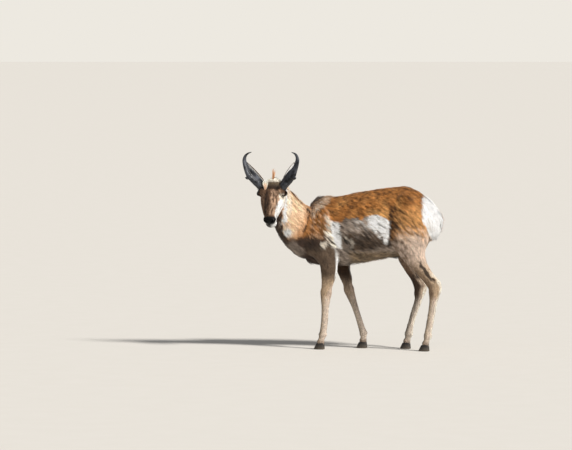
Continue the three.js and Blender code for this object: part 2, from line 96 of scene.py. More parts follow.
def linear(code: str) -> Array:
    """Turns an sRGB hex colour into linear light.

    Args:
        code: Six hex digits after a hash.

    Returns:
        Red, green and blue as linear values from 0 to 1.
    """
    value = np.array([int(code[i:i + 2], 16) for i in (1, 3, 5)]) / 255
    return np.where(value <= 0.04045, value / 12.92, ((value + 0.055) / 1.055) ** 2.4)


def step(value: Array, low: float | Array, high: float | Array) -> Array:
    """A smooth step, 3t^2 - 2t^3, from 0 at low to 1 at high.

    Args:
        value: Where the step is read.
        low: Where it leaves 0.
        high: Where it reaches 1; it may be less than low, for a falling step.

    Returns:
        The step's height at each value.
    """
    part = np.clip((value - low) / (high - low), 0, 1)
    return part * part * (3 - 2 * part)


def window(value: Array, low: float | Array, high: float | Array, soft: float) -> Array:
    """1 between two bounds and 0 outside, with soft edges.

    Args:
        value: Where the window is read.
        low: Lower bound, at half height.
        high: Upper bound, at half height.
        soft: Width of each edge.

    Returns:
        The window's height at each value.
    """
    half = soft / 2
    return step(value, low - half, low + half) * step(value, high + half, high - half)


def unit(vectors: Array) -> Array:
    """Vectors scaled to a length of 1."""
    return vectors / np.maximum(np.linalg.norm(vectors, axis=-1, keepdims=True), 1e-9)


def noise(points: Array, size: float, seed: int) -> Array:
    """Smooth value noise: random values at the corners of a cubic lattice, blended with 3t^2 - 2t^3.

    Args:
        points: Places, one to a row.
        size: Spacing of the lattice.
        seed: Picks another pattern.

    Returns:
        One value from -1 to 1 for each place.
    """
    cell = points / size
    base = np.floor(cell).astype(np.int64)
    part = cell - base
    part = part * part * (3 - 2 * part)
    total = np.zeros(len(points))
    for corner in product((0, 1), repeat=3):
        at = base + np.array(corner)
        key = (at[:, 0] * 73856093) ^ (at[:, 1] * 19349663) ^ (at[:, 2] * 83492791) ^ (seed * 9973)
        key = ((key ^ (key >> 13)) * 1274126177) & 0x7FFFFFFF
        value = ((key ^ (key >> 15)) & 0xFFFF) / 32767.5 - 1
        total += value * np.prod(np.where(np.array(corner) == 1, part, 1 - part), axis=1)
    return total


def mix(first: Array, second: Array, share: float | Array) -> Array:
    """Goes from the first colours to the second by one share, or a share for each row."""
    return first + (second - first) * np.asarray(share)[..., None]


def patch(across: Array, along: Array, outline: list[tuple[float, float]], soft: float) -> Array:
    """1 inside an outline and 0 outside, by the distance to its nearest edge, signed by counting crossings.

    Args:
        across: First coordinate of each place.
        along: Second coordinate of each place.
        outline: The outline's corners in the same two coordinates.
        soft: Width of the soft edge.

    Returns:
        The patch's share at each place.
    """
    ring = np.array(outline, float)
    place = np.column_stack([across, along])
    nearest = np.full(len(place), np.inf)
    inside = np.zeros(len(place), bool)
    for start, end in zip(ring, np.roll(ring, -1, axis=0)):
        edge, offset = end - start, place - start
        share = np.clip(offset @ edge / (edge @ edge), 0, 1)
        nearest = np.minimum(nearest, np.linalg.norm(offset - share[:, None] * edge, axis=1))
        spans = (start[1] > along) != (end[1] > along)
        inside ^= spans & (across < start[0] + offset[:, 1] * edge[0] / (edge[1] or 1.0))
    return step(np.where(inside, nearest, -nearest), -soft / 2, soft / 2)


def nearest_spot(across: Array, along: Array, ovals: tuple[tuple[float, ...], ...]) -> Array:
    """1 within any of some ovals and 0 outside, by a soft edge from 0.8 to 1.25 of their radii.

    Args:
        across: First coordinate of each place.
        along: Second coordinate of each place.
        ovals: Each oval's middle in both coordinates and its two radii.

    Returns:
        The ovals' share at each place.
    """
    ratios = [np.hypot((across - a) / wide, (along - b) / high) for a, b, wide, high in ovals]
    return step(np.minimum(*ratios), 1.25, 0.8)


def smooth_rows(rows: Array, ways: Array) -> Array:
    """Values on a Catmull-Rom curve through rows of numbers.

    Args:
        rows: One station to a row.
        ways: Places along the whole curve, 0 to 1.

    Returns:
        One row for each way.
    """
    last = len(rows) - 1
    place = np.clip(ways, 0, 1) * last
    index = np.minimum(place.astype(int), last - 1)
    part = (place - index)[:, None]
    before, start = rows[np.maximum(index - 1, 0)], rows[index]
    end, after = rows[index + 1], rows[np.minimum(index + 2, last)]
    leave, arrive, change = (end - before) / 2, (after - start) / 2, end - start
    square = 3 * change - 2 * leave - arrive
    cube = leave + arrive - 2 * change
    return start + part * (leave + part * (square + part * cube))


# Where things are


@dataclass(frozen=True)
class Placement:
    """Turns the animal's millimetres into the row frame's metres.

    Its shift is read from the left eye's node, whose middle is known in both.
    """

    eye: tuple[float, float, float] = (-485.0, -250.0, 911.0)

    def shift(self) -> Array:
        """Where the animal's origin is in the row frame, in metres."""
        low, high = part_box("eye_left")
        middle = (np.array(low) + np.array(high)) / 2
        return middle - np.array(self.eye) / MM_PER_M

    def world(self, points: Array) -> Array:
        """Places in millimetres of the animal's frame as metres in the row frame."""
        return points / MM_PER_M + self.shift()

    def animal(self, points: Array) -> Array:
        """Places in metres of the row frame as millimetres in the animal's frame."""
        return (points - self.shift()) * MM_PER_M


PLACEMENT = Placement()


@dataclass(frozen=True)
class HeadFrame:
    """The head's own axes: along the muzzle, to the animal's left, and out of the forehead."""

    middle: tuple[float, float, float] = (-554.0, -250.0, 911.0)
    station: float = 105.0
    rise: float = 15.0
    pitch: float = math.radians(60)

    def axes(self) -> Array:
        """The three axes as rows: along, side, out."""
        down, ahead = math.sin(self.pitch), math.cos(self.pitch)
        return np.array([[0, -ahead, -down], [1, 0, 0], [0, -down, ahead]])

    def origin(self) -> Array:
        """Where along, side and out are all 0."""
        return np.array(self.middle) - np.array([self.station, 0, self.rise]) @ self.axes()

    def inward(self, points: Array) -> Array:
        """Places of the animal's frame in the head's axes."""
        return (points - self.origin()) @ self.axes().T

    def outward(self, points: Array) -> Array:
        """Places in the head's axes in the animal's frame."""
        return self.origin() + np.asarray(points, float) @ self.axes()


HEAD = HeadFrame()


@dataclass
class Spot:
    """Where places lie on a loft: way along it, and across and rise from its middle line."""

    way: Array
    across: Array
    rise: Array
    distance: Array

    def angle(self) -> Array:
        """The angle round the loft, 0 to the side and a quarter turn at the top."""
        return np.arctan2(self.rise, self.across)


@dataclass
class Loft:
    """A closed skin of rounded rings on a path.

    A station is x, y, z, side, up, down and the direction called up. A ring's point has
    (|across| / side)^p + (|rise| / reach)^p = 1 with p = 2 / fullness.
    """

    stations: Array
    fullness: float = 0.9
    facing: tuple[float, float, float] | None = None
    samples: int = 64

    def __post_init__(self) -> None:
        """Works out the middle line, its directions and the sizes at even steps."""
        self.ways = np.linspace(0, 1, self.samples)
        self.rows = smooth_rows(np.asarray(self.stations, float), self.ways)
        self.centres = self.rows[:, :3]
        pace = np.gradient(self.centres, self.ways, axis=0)
        self.speed = np.linalg.norm(pace, axis=1)
        ahead = np.tile(self.facing, (self.samples, 1)) if self.facing else unit(pace)
        side = unit(np.cross(ahead, self.rows[:, 6:9]))
        self.table = np.hstack([self.centres, ahead, side, np.cross(side, ahead), self.rows[:, 3:6]])

    def at(self, way: Array) -> Array:
        """The table's row at each way: centre, directions ahead, side and up, and sizes side, up and down."""
        place = np.clip(way, 0, 1) * (self.samples - 1)
        index = np.minimum(place.astype(np.int64), self.samples - 2)
        part = (place - index)[:, None]
        return self.table[index] * (1 - part) + self.table[index + 1] * part

    def ahead(self, way: Array) -> Array:
        """The direction along the path at each way."""
        return unit(self.at(way)[:, 3:6])

    def way_of(self, points: Array) -> Array:
        """The way whose ring passes nearest to each place."""
        if self.facing:
            level = self.centres @ np.array(self.facing)
            return np.interp(points @ np.array(self.facing), level, self.ways)
        reach = (self.centres ** 2).sum(1)
        nearest = np.concatenate([
            np.argmin(reach - 2 * block @ self.centres.T, axis=1)
            for block in np.array_split(points, len(points) // SEARCH_BLOCK + 1)
        ])
        row = self.table[nearest]
        ahead = ((points - row[:, :3]) * row[:, 3:6]).sum(1)
        limit = 0.6 / (self.samples - 1)
        return np.clip(self.ways[nearest] + np.clip(ahead / self.speed[nearest], -limit, limit), 0, 1)

    def locate(self, points: Array) -> Spot:
        """Finds places on the loft.

        The distance is measured from the surface along the ray from the ring's middle, and
        beyond an end also along the path.

        Args:
            points: Places, one to a row.

        Returns:
            Each place's spot; its distance is below 0 inside.
        """
        way = self.way_of(points)
        row = self.at(way)
        offset = points - row[:, :3]
        across = (offset * row[:, 6:9]).sum(1)
        rise = (offset * row[:, 9:12]).sum(1)
        beyond = (offset * row[:, 3:6]).sum(1) * ((way <= 0) | (way >= 1))
        power = 2 / self.fullness
        reach = np.maximum(np.where(rise > 0, row[:, 13], row[:, 14]), 0.5)
        side = np.maximum(row[:, 12], 0.5)
        ratio = ((np.abs(across) / side) ** power + (np.abs(rise) / reach) ** power) ** (1 / power)
        ray = np.hypot(across, rise)
        level = np.where(ratio > 1e-3, ray * (1 - 1 / np.maximum(ratio, 1e-3)), -np.minimum(side, reach))
        ended = np.hypot(np.maximum(level, 0), beyond)
        return Spot(way, across, rise, np.where(np.abs(beyond) > 0, ended, level))

    def surface(self, angle: Array, way: Array) -> Array:
        """The skin's place at each angle and way, by the formula of the class."""
        row = self.at(way)
        across, rise = np.cos(angle), np.sin(angle)
        reach = np.where(rise > 0, row[:, 13], row[:, 14])
        out = row[:, 12] * np.sign(across) * np.abs(across) ** self.fullness
        up = reach * np.sign(rise) * np.abs(rise) ** self.fullness
        return row[:, :3] + row[:, 6:9] * out[:, None] + row[:, 9:12] * up[:, None]


@dataclass
class Swell:
    """A rounded muscle, bone or hollow: an ellipsoid that is joined to the body or cut from it."""

    centre: tuple[float, float, float]
    radii: tuple[float, float, float]
    softness: float
    depth: float = 4.0
    hollow: bool = False
    in_head: bool = False

    def mirrored(self) -> list["Swell"]:
        """This one and its twin on the other side of the mid-plane."""
        x, y, z = self.centre
        other = (x, -y, z)
        return [self, Swell(other, self.radii, self.softness, self.depth, self.hollow, self.in_head)]

    def distance(self, points: Array) -> Array:
        """Distance from the surface along the ray from the middle, below 0 inside."""
        local = HEAD.inward(points) if self.in_head else points
        offset = local - np.array(self.centre)
        ratio = np.linalg.norm(offset / np.array(self.radii), axis=1)
        ray = np.linalg.norm(offset, axis=1)
        return np.where(ratio > 1e-3, ray * (1 - 1 / np.maximum(ratio, 1e-3)), -min(self.radii))

    def box(self) -> tuple[Array, Array]:
        """The corners of a box that holds the swell and its soft edge."""
        middle = HEAD.outward([self.centre])[0] if self.in_head else np.array(self.centre)
        reach = max(self.radii) if self.in_head else np.array(self.radii)
        return middle - reach - 2 * self.softness - 8, middle + reach + 2 * self.softness + 8


# The parts of the body


@dataclass
class Growth:
    """How the coat grows at each place: tufts to a square centimetre, and each one's sizes in mm."""

    density: Array
    length: Array
    width: Array
    lift: Array

    @staticmethod
    def even(count: int, density: float, length: float, width: float, lift: float) -> "Growth":
        """The same growth at every one of count places."""
        return Growth(*(np.full(count, float(value)) for value in (density, length, width, lift)))

    def rows(self) -> Array:
        """The four values as columns."""
        return np.column_stack([self.density, self.length, self.width, self.lift])


@dataclass(frozen=True)
class CoatColours:
    """Hair colours of a buck in spring, as hex sRGB, named by where they grow. The colours of the fold, the
    grey flank, the dark lower flank, the belly, the chest, the brow and the dark clumps are also laid as
    painted shade, and the light saddle colour also as a painted highlight.
    """

    saddle: str = "#a86e36"
    saddle_dark: str = "#583213"
    # pale saddle hair, also laid as a painted highlight along the saddle's lower edge
    saddle_light: str = "#d29d5e"
    haunch: str = "#c08b53"
    thigh: str = "#d8c0ad"
    # painted shade in the fold before the thigh and on the far foreleg, with some dark hair
    fold: str = "#3a230c"
    white: str = "#fffefb"
    # grey: white hair darkened as painted shade
    flank: str = "#9e8f82"
    # painted shade on the white lower flank and shoulder, with some dirt
    dirt_and_shade: str = "#463628"
    # painted shade under the belly and in the rump's crease
    belly: str = "#816b4e"
    neck: str = "#f7cda6"
    nape: str = "#b9814e"
    moult: str = "#caa98a"
    # near black hair clumps, also laid as painted shade in hollows and creases
    clump: str = "#2b201a"
    # dark brown: painted shade on the chest and the far legs, and the dark throat
    chest: str = "#423126"
    leg: str = "#c5aa8c"
    cream: str = "#f7ecda"
    shin: str = "#6c523e"
    face: str = "#6d523e"
    # dark brown: the brow's dark hair, partly painted shadow under the crown hair, and painted shade on the
    # lips
    brow: str = "#2d1e14"
    mask: str = "#2e2018"
    bridge: str = "#c8a487"
    crown: str = "#645442"
    jaw: str = "#c4854e"
    black: str = "#0d0a09"
    ear: str = "#b98452"
    ear_rim: str = "#4a3322"


HUES = CoatColours()


def tint(name: str) -> Array:
    """A named hair colour as linear light."""
    return linear(getattr(HUES, name))


class Paint:
    """Layers of hair colour, laid one over another."""

    def __init__(self, name: str, count: int) -> None:
        """Starts with one named colour at count places."""
        self.hue = np.tile(tint(name), (count, 1))

    def lay(self, name: str, share: Array) -> None:
        """Covers what is there with a named colour by a share at each place."""
        self.hue += (tint(name) - self.hue) * np.clip(share, 0, 1)[:, None]


@dataclass
class FleshPart:
    """A part of the body, drawn as a loft.

    Depth is its coat's, softness how softly it joins the rest, island its place in the unwrap,
    and grain the direction along which the coat's colour is streaked.
    """

    name: str
    loft: Loft
    depth: float
    softness: float
    island: tuple[float, float, float, float]
    grain: tuple[float, float, float] = (0.0, 0.0, -1.0)

    def streaks(self, points: Array, amount: float) -> Array:
        """Brightness of clumps of hair: noise in two sizes, drawn out along the grain."""
        long = unit(np.array(self.grain))
        drawn = points - np.outer(points @ long, long) * (1 - 1 / STREAK_STRETCH)
        wave = 0.7 * noise(drawn, 11, 61) + 0.5 * noise(drawn, 4.5, 62)
        return (1 + amount * np.where(wave > 0, wave, 1.3 * wave))[:, None]

    def local(self, points: Array) -> Array:
        """The places in the axes that the loft is drawn in."""
        return points

    def spot(self, points: Array) -> Spot:
        """Where the places lie on the loft."""
        return self.loft.locate(self.local(points))

    def box(self) -> tuple[Array, Array]:
        """The corners of a box that holds the part and its soft edge."""
        reach = self.loft.table[:, 12:15].max(1)[:, None]
        margin = 2 * self.softness + 10
        low, high = self.loft.centres - reach, self.loft.centres + reach
        return low.min(0) - margin, high.max(0) + margin

    def swells(self) -> list[Swell]:
        """Muscles, bones and hollows on this part."""
        return []

    def lie(self, points: Array, spot: Spot) -> Array:
        """The direction in which the hair lies."""
        return self.loft.ahead(spot.way)

    def growth(self, points: Array, spot: Spot) -> Growth:
        """How the coat grows."""
        return Growth.even(len(points), 4, 20, 4, 3)

    def colour(self, points: Array, spot: Spot) -> Array:
        """The coat's linear colour."""
        return Paint("saddle", len(points)).hue

    def unwrap(self, spot: Spot) -> Array:
        """Round the part and along it, as a place in the part's own rectangle of the unwrap."""
        left, low, wide, high = self.island
        turn = spot.angle() / (2 * math.pi) + 0.5
        return np.column_stack([left + wide * turn, low + high * spot.way])


class Trunk(FleshPart):
    """Chest, barrel, loin and rump."""

    def __init__(self) -> None:
        """Sets the rings, which all face forward."""
        rows = [
            (-432, 634, 2, 2, 2), (-424, 636, 38, 56, 72), (-404, 648, 74, 110, 134),
            (-368, 662, 98, 192, 163), (-318, 668, 112, 210, 176), (-250, 672, 124, 212, 183),
            (-178, 676, 136, 219, 187), (-100, 682, 143, 230, 180), (-30, 690, 146, 233, 176),
            (50, 704, 142, 232, 174), (118, 720, 134, 224, 172), (180, 732, 133, 215, 164),
            (232, 738, 130, 192, 146), (278, 741, 120, 163, 132), (314, 742, 106, 132, 116),
            (345, 742, 86, 104, 98), (368, 739, 60, 74, 72), (381, 737, 34, 40, 42), (386, 736, 2, 2, 2),
        ]
        stations = np.array([[x, 0, z, side, up, down, 0, 0, 1] for x, z, side, up, down in rows], float)
        loft = Loft(stations, facing=(1, 0, 0), samples=160)
        super().__init__("torso", loft, 4.6, 18, (0.01, 0.01, 0.55, 0.6), (0.74, 0.0, -0.67))

    def swells(self) -> list[Swell]:
        """Shoulder blade, point of the shoulder, flank hollow, hip and brisket."""
        pairs = [
            Swell((-292, -104, 716), (46, 26, 92), 34, 9),
            Swell((-352, -86, 640), (40, 34, 52), 30, 9),
            Swell((150, -158, 800), (34, 20, 46), 26, 9, hollow=True),
            Swell((196, -92, 884), (44, 32, 30), 34, 9),
            Swell((-176, -150, 600), (20, 20, 90), 24, 9, hollow=True),
        ]
        sheath = Swell((106, 0, 553), (34, 14, 17), 14, 3)
        return [twin for swell in pairs for twin in swell.mirrored()] + [sheath]

    def lie(self, points: Array, spot: Spot) -> Array:
        """Back along the barrel and down the sides, steeper over the rump."""
        x, y, _ = points.T
        drop = -0.34 * step(np.abs(y), 10, 110) - 1.0 * step(x, 250, 385)
        swirl = 0.16 * noise(points, 150, 3)
        spread = np.sign(y) * 0.25 * step(x, 290, 380)
        return unit(np.column_stack([np.ones_like(x), spread, drop + swirl]))

    def growth(self, points: Array, spot: Spot) -> Growth:
        """Medium hair, longer over the rump patch and the belly."""
        growth = Growth.even(len(points), 6.4, 30, 3.8, 4.2)
        rump = self.rump_patch(points)
        growth.length += 4 * rump + 7 * noise(points, 60, 5)
        growth.lift += 2.4 * rump + 3 * np.maximum(noise(points, 40, 6), 0)
        return growth

    def rump_patch(self, points: Array) -> Array:
        """The white patch: behind a border that runs down the rump at x = 284 to 344."""
        x, _, z = points.T
        levels = [600, 640, 674, 709, 755, 772, 842, 905]
        border = np.interp(z, levels, [336, 338, 344, 332, 306, 300, 294, 284])
        ragged = 5 * noise(points, 14, 11)
        return step(x, border - 4 + ragged, border + 4 + ragged)

    def colour(self, points: Array, spot: Spot) -> Array:
        """Cinnamon saddle, white flank and rump, painted shade on the lower flank and chest, moulting
        withers.
        """
        at = TrunkPlaces(points)
        coat = Paint("saddle", len(points))
        self.paint_back(coat, at)
        self.paint_flank(coat, at)
        self.paint_flank_folds(coat, at)
        self.paint_chest(coat, at)
        self.paint_withers(coat, at)
        rump = self.rump_patch(points)
        coat.lay("white", rump)
        # painted shadow in the crease on the rump
        seam = [(312, 778), (322, 772), (366, 704), (358, 690), (330, 726)]
        coat.lay("belly", 0.6 * at.inside(seam, 10) * step(noise(points, 9, 19), -0.4, 0.2))
        return coat.hue * (self.streaks(points, 0.8) * (1 - rump)[:, None] + rump[:, None])

    def paint_back(self, coat: Paint, at: "TrunkPlaces") -> None:
        """Lights and darks of the saddle with a painted highlight along its lower edge, the paler haunch and
        thigh, and the shoulder mottled partly with painted shade.
        """
        coat.lay("saddle_light", 0.45 * step(noise(at.points, 40, 14), -0.1, 0.9))
        coat.lay("saddle_dark", 0.7 * step(noise(at.points, 17, 15), 0.1, 0.9))
        # painted highlight along the saddle's lower edge
        coat.lay("saddle_light", 0.7 * window(at.x, -20, 112, 60) * window(at.low, 764, 816, 26))
        rear = step(at.x, 120, 175)
        coat.lay("haunch", rear * step(at.low, 865, 775))
        coat.lay("thigh", rear * step(at.low + 40 * at.streak, 740, 620))
        shoulder = at.inside([(-420, 820), (-262, 800), (-246, 640), (-430, 640)], 40)
        coat.lay("moult", 0.55 * shoulder * step(at.streak, 0, 0.5))
        # darker streaks over the shoulder: painted shade with some dirt
        coat.lay("dirt_and_shade", 0.5 * shoulder * step(-at.streak, 0, 0.45))

    def paint_flank(self, coat: Paint, at: "TrunkPlaces") -> None:
        """The white flank below the saddle's edge, greyed and darkened towards the belly as painted shade
        with some dirt, and clean before the thigh.
        """
        slid, low, streak = at.slid, at.low, at.streak
        edge_x = [-230, -162, -148, -120, -50, -26, 4, 45, 81, 112]
        edge = np.interp(at.x, edge_x, [738, 741, 764, 764, 761, 776, 784, 784, 772, 750])
        under = step(low, edge + 6, edge - 6) * step(slid, -219, -205)
        under = under * np.maximum(step(at.x, 130, 116), step(low, 650, 630) * step(at.x, 210, 190))
        # painted shade: the white hair under the saddle is laid grey
        coat.lay("flank", under)
        coat.lay("white", 0.6 * under * step(streak, -0.3, 0.4) * step(low, 690, 740) * step(slid, -130, -40))
        # painted shade with some dirt, darkest towards the belly
        coat.lay("dirt_and_shade", 0.5 * under * step(slid, -100, -160) * step(-streak, -0.5, 0.3))
        lower = step(low + 40 * streak, 716, 650) * step(slid, -182, -160) * step(low, 566, 600)
        coat.lay("dirt_and_shade", 0.95 * under * lower)
        # painted shade low on the rear flank
        coat.lay("flank", 0.7 * under * step(low + 20 * streak, 632, 588) * step(slid, 0, 60))
        clean = [
            (-26, 761), (4, 800), (45, 800), (81, 790), (112, 760),
            (118, 668), (92, 660), (60, 672), (28, 704), (-8, 732),
        ]
        coat.lay("white", under * patch(slid + 14 * streak, low + 14 * streak, clean, 30))

    def paint_flank_folds(self, coat: Paint, at: "TrunkPlaces") -> None:
        """Painted shade in the armpit, a painted highlight on the crease behind it, painted shade under the
        belly and in the groin, and painted shade with some dark hair in the fold where the thigh begins.
        """
        armpit = [(-186, 700), (-150, 668), (-108, 628), (-118, 560), (-120, 500), (-196, 500)]
        lit_crease = [
            (-150, 664), (-118, 644), (-94, 622), (-104, 586),
            (-114, 586), (-106, 614), (-126, 630), (-152, 650),
        ]
        # painted shade in the armpit
        coat.lay("flank", 0.8 * at.inside(armpit, 20))
        # painted highlight on the crease
        coat.lay("cream", 0.6 * at.inside(lit_crease, 20))
        # painted shade under the belly
        coat.lay("belly", 0.8 * step(at.z + 10 * at.streak, 590, 556) * step(at.x, -150, -110))
        coat.lay("white", 0.9 * at.inside([(70, 664), (98, 664), (108, 626), (84, 622)], 14))
        # painted shade in the groin beside the white tuft
        coat.lay("clump", 0.9 * at.inside([(96, 640), (120, 642), (124, 606), (100, 604)], 16))
        # painted shade with some dark hair in the fold before the thigh
        groove = window(at.low, 640, 850, 50) * step(at.x, 106, 116) * step(at.x + 60 * at.streak, 196, 118)
        coat.lay("fold", 0.9 * groove)

    def paint_chest(self, coat: Paint, at: "TrunkPlaces") -> None:
        """Dark lower chest and shoulder front as painted shade, the white wedge behind the shoulder, a pale
        elbow and the black sheath.
        """
        # painted shade on the lower chest and the front of the shoulder
        coat.lay("chest", step(at.slid, -196, -214) * step(at.low + 30 * at.streak, 700, 632))
        coat.lay("clump", 0.5 * at.inside([(-430, 650), (-300, 660), (-290, 590), (-420, 580)], 50))
        beside = [(-268, 786), (-233, 752), (-214, 651), (-190, 592), (-236, 587), (-266, 662)]
        coat.lay("cream", 0.85 * at.inside(beside, 24) * step(at.streak, -0.6, 0.2))
        wedge = [(-238, 748), (-184, 738), (-174, 640), (-172, 586), (-198, 594), (-216, 651), (-235, 697)]
        coat.lay("white", patch(at.x + 0.4 * at.ragged, at.z, wedge, 14))
        coat.lay("cream", 0.6 * at.inside([(-290, 626), (-262, 622), (-262, 586), (-286, 584)], 14))
        coat.lay("black", step(np.hypot((at.x - 100) / 22, at.y / 18), 1.2, 0.6) * step(at.z, 560, 545))

    def paint_withers(self, coat: Paint, at: "TrunkPlaces") -> None:
        """Grey-tan winter hair over the withers, with near black clumps."""
        area = [(-400, -40), (-400, 96), (-300, 104), (-262, 60), (-258, -40)]
        moult = patch(at.slid, np.abs(at.y), area, 26) * step(at.z, 742, 784)
        coat.lay("moult", 0.7 * moult)
        spots = nearest_spot(at.x, at.z, ((-345, 857, 34, 17), (-370, 808, 20, 16)))
        coat.lay("clump", 0.9 * moult * np.maximum(spots, step(noise(at.points, 20, 18), 0.25, 0.45)))


@dataclass
class TrunkPlaces:
    """Places on the trunk, moved by ragged amounts, and the streaks that its markings share."""

    points: Array

    def __post_init__(self) -> None:
        """Works out the coordinates: ragged is in mm and streak from -1 to 1, drawn out along the lie."""
        self.x, self.y, self.z = self.points.T
        self.ragged = 9 * noise(self.points, 26, 12) + 7 * noise(self.points, 10, 13)
        self.slid, self.low = self.x + self.ragged, self.z + self.ragged
        along = np.outer(self.points @ [0.74, 0, -0.67], [0.59, 0, -0.54])
        self.streak = noise(self.points - along, 7, 16)

    def inside(self, outline: list[tuple[float, float]], soft: float) -> Array:
        """1 inside a ragged outline drawn from the side, and 0 outside."""
        return patch(self.slid, self.low, outline, soft)


class Neck(FleshPart):
    """The neck, bent to the animal's left."""

    def __init__(self) -> None:
        """Sets the rings along the bent path."""
        stations = [
            (-270, 0, 684, 60, 90, 90, 0.1, 0, 1), (-330, -8, 684, 92, 140, 160, 0.1, 0, 1),
            (-385, -35, 686, 94, 134, 158, 0.15, 0.1, 1), (-432, -75, 722, 86, 122, 140, 0.35, 0.25, 1),
            (-480, -112, 786, 74, 94, 119, 0.5, 0.4, 1), (-519, -142, 864, 64, 76, 96, 0.45, 0.7, 0.8),
            (-544, -154, 926, 58, 60, 72, 0.25, 1, 0.5), (-553, -170, 960, 42, 36, 50, 0, 1, 0.35),
        ]
        loft = Loft(np.array(stations, float), samples=96)
        super().__init__("neck", loft, 4.6, 18, (0.58, 0.01, 0.4, 0.3), (0.45, 0.35, -0.8))

    def lie(self, points: Array, spot: Spot) -> Array:
        """From the head back down to the shoulder."""
        down = np.array([0, 0, -0.35])
        return unit(-self.loft.ahead(spot.way) + down + 0.18 * noise(points, 90, 21)[:, None])

    def growth(self, points: Array, spot: Spot) -> Growth:
        """Medium hair, deeper and looser towards the shoulder."""
        growth = Growth.even(len(points), 7.0, 24, 3.4, 3.8)
        base = step(spot.way, 0.7, 0.35)
        growth.length += 8 * base
        growth.lift += 2 * base + 2 * np.maximum(noise(points, 35, 22), 0)
        return growth

    def colour(self, points: Array, spot: Spot) -> Array:
        """Pale orange sides, browner nape, a white band beside the throat, a dark throat, and painted shade
        in the neck's crease and on the chest.
        """
        low = points[:, 2] + 12 * noise(points, 24, 25)
        around = (spot.angle() + 1.5 * math.pi) % (2 * math.pi) - math.pi
        from_throat = np.degrees(np.abs(around)) + 5 * noise(points, 16, 26)
        way = spot.way + 0.01 * noise(points, 18, 23)
        coat = Paint("neck", len(points))
        coat.lay("saddle", 0.35 * step(noise(points, 26, 24), 0, 1))
        coat.lay("nape", 0.8 * step(from_throat, 140, 165))
        ways = [0.45, 0.49, 0.54, 0.58, 0.64, 0.68, 0.75, 0.8]
        aside = from_throat - np.interp(way, ways, [28, 31, 36, 38, 51, 65, 82, 95])
        throat = step(aside, -8, -13)
        coat.lay("saddle", 0.8 * throat * step(way, 0.64, 0.68))
        coat.lay("chest", throat * step(way, 0.68, 0.64))
        band = window(aside + 6 * noise(points, 12, 27), -10, 8, 8) * window(way, 0.47, 0.84, 0.03)
        coat.lay("white", band * (1 - 0.8 * window(way, 0.52, 0.56, 0.03)))
        coat.lay("cream", 0.6 * window(aside, 8, 40, 14) * window(way, 0.6, 0.84, 0.05))
        coat.lay("jaw", 0.6 * throat * step(way, 0.6, 0.66) * step(noise(points, 10, 29), 0.1, 0.4))
        grey = window(way, 0.56, 0.62, 0.03) * step(noise(points, 18, 28), -0.1, 0.4)
        coat.lay("flank", 0.6 * throat * grey)
        seam = np.interp(from_throat, [60, 110, 160], [0.41, 0.45, 0.5])
        coat.lay("jaw", 0.6 * step(way - seam, 0.07, 0.02))
        coat.lay("saddle", step(way - seam, 0.02, -0.01))
        # painted shade in the crease where the neck meets the shoulder
        coat.lay("clump", 0.8 * window(way - seam, -0.014, 0.004, 0.012) * window(from_throat, 62, 150, 16))
        # painted shade on the chest
        coat.lay("chest", step(low, 676, 636) * step(way, 0.5, 0.46))
        # grey for the pale chest patch, darkened as painted shade
        coat.lay("flank", 0.8 * window(way, 0.3, 0.43, 0.04) * step(from_throat, 34, 22))
        return coat.hue * self.streaks(points, 0.34)


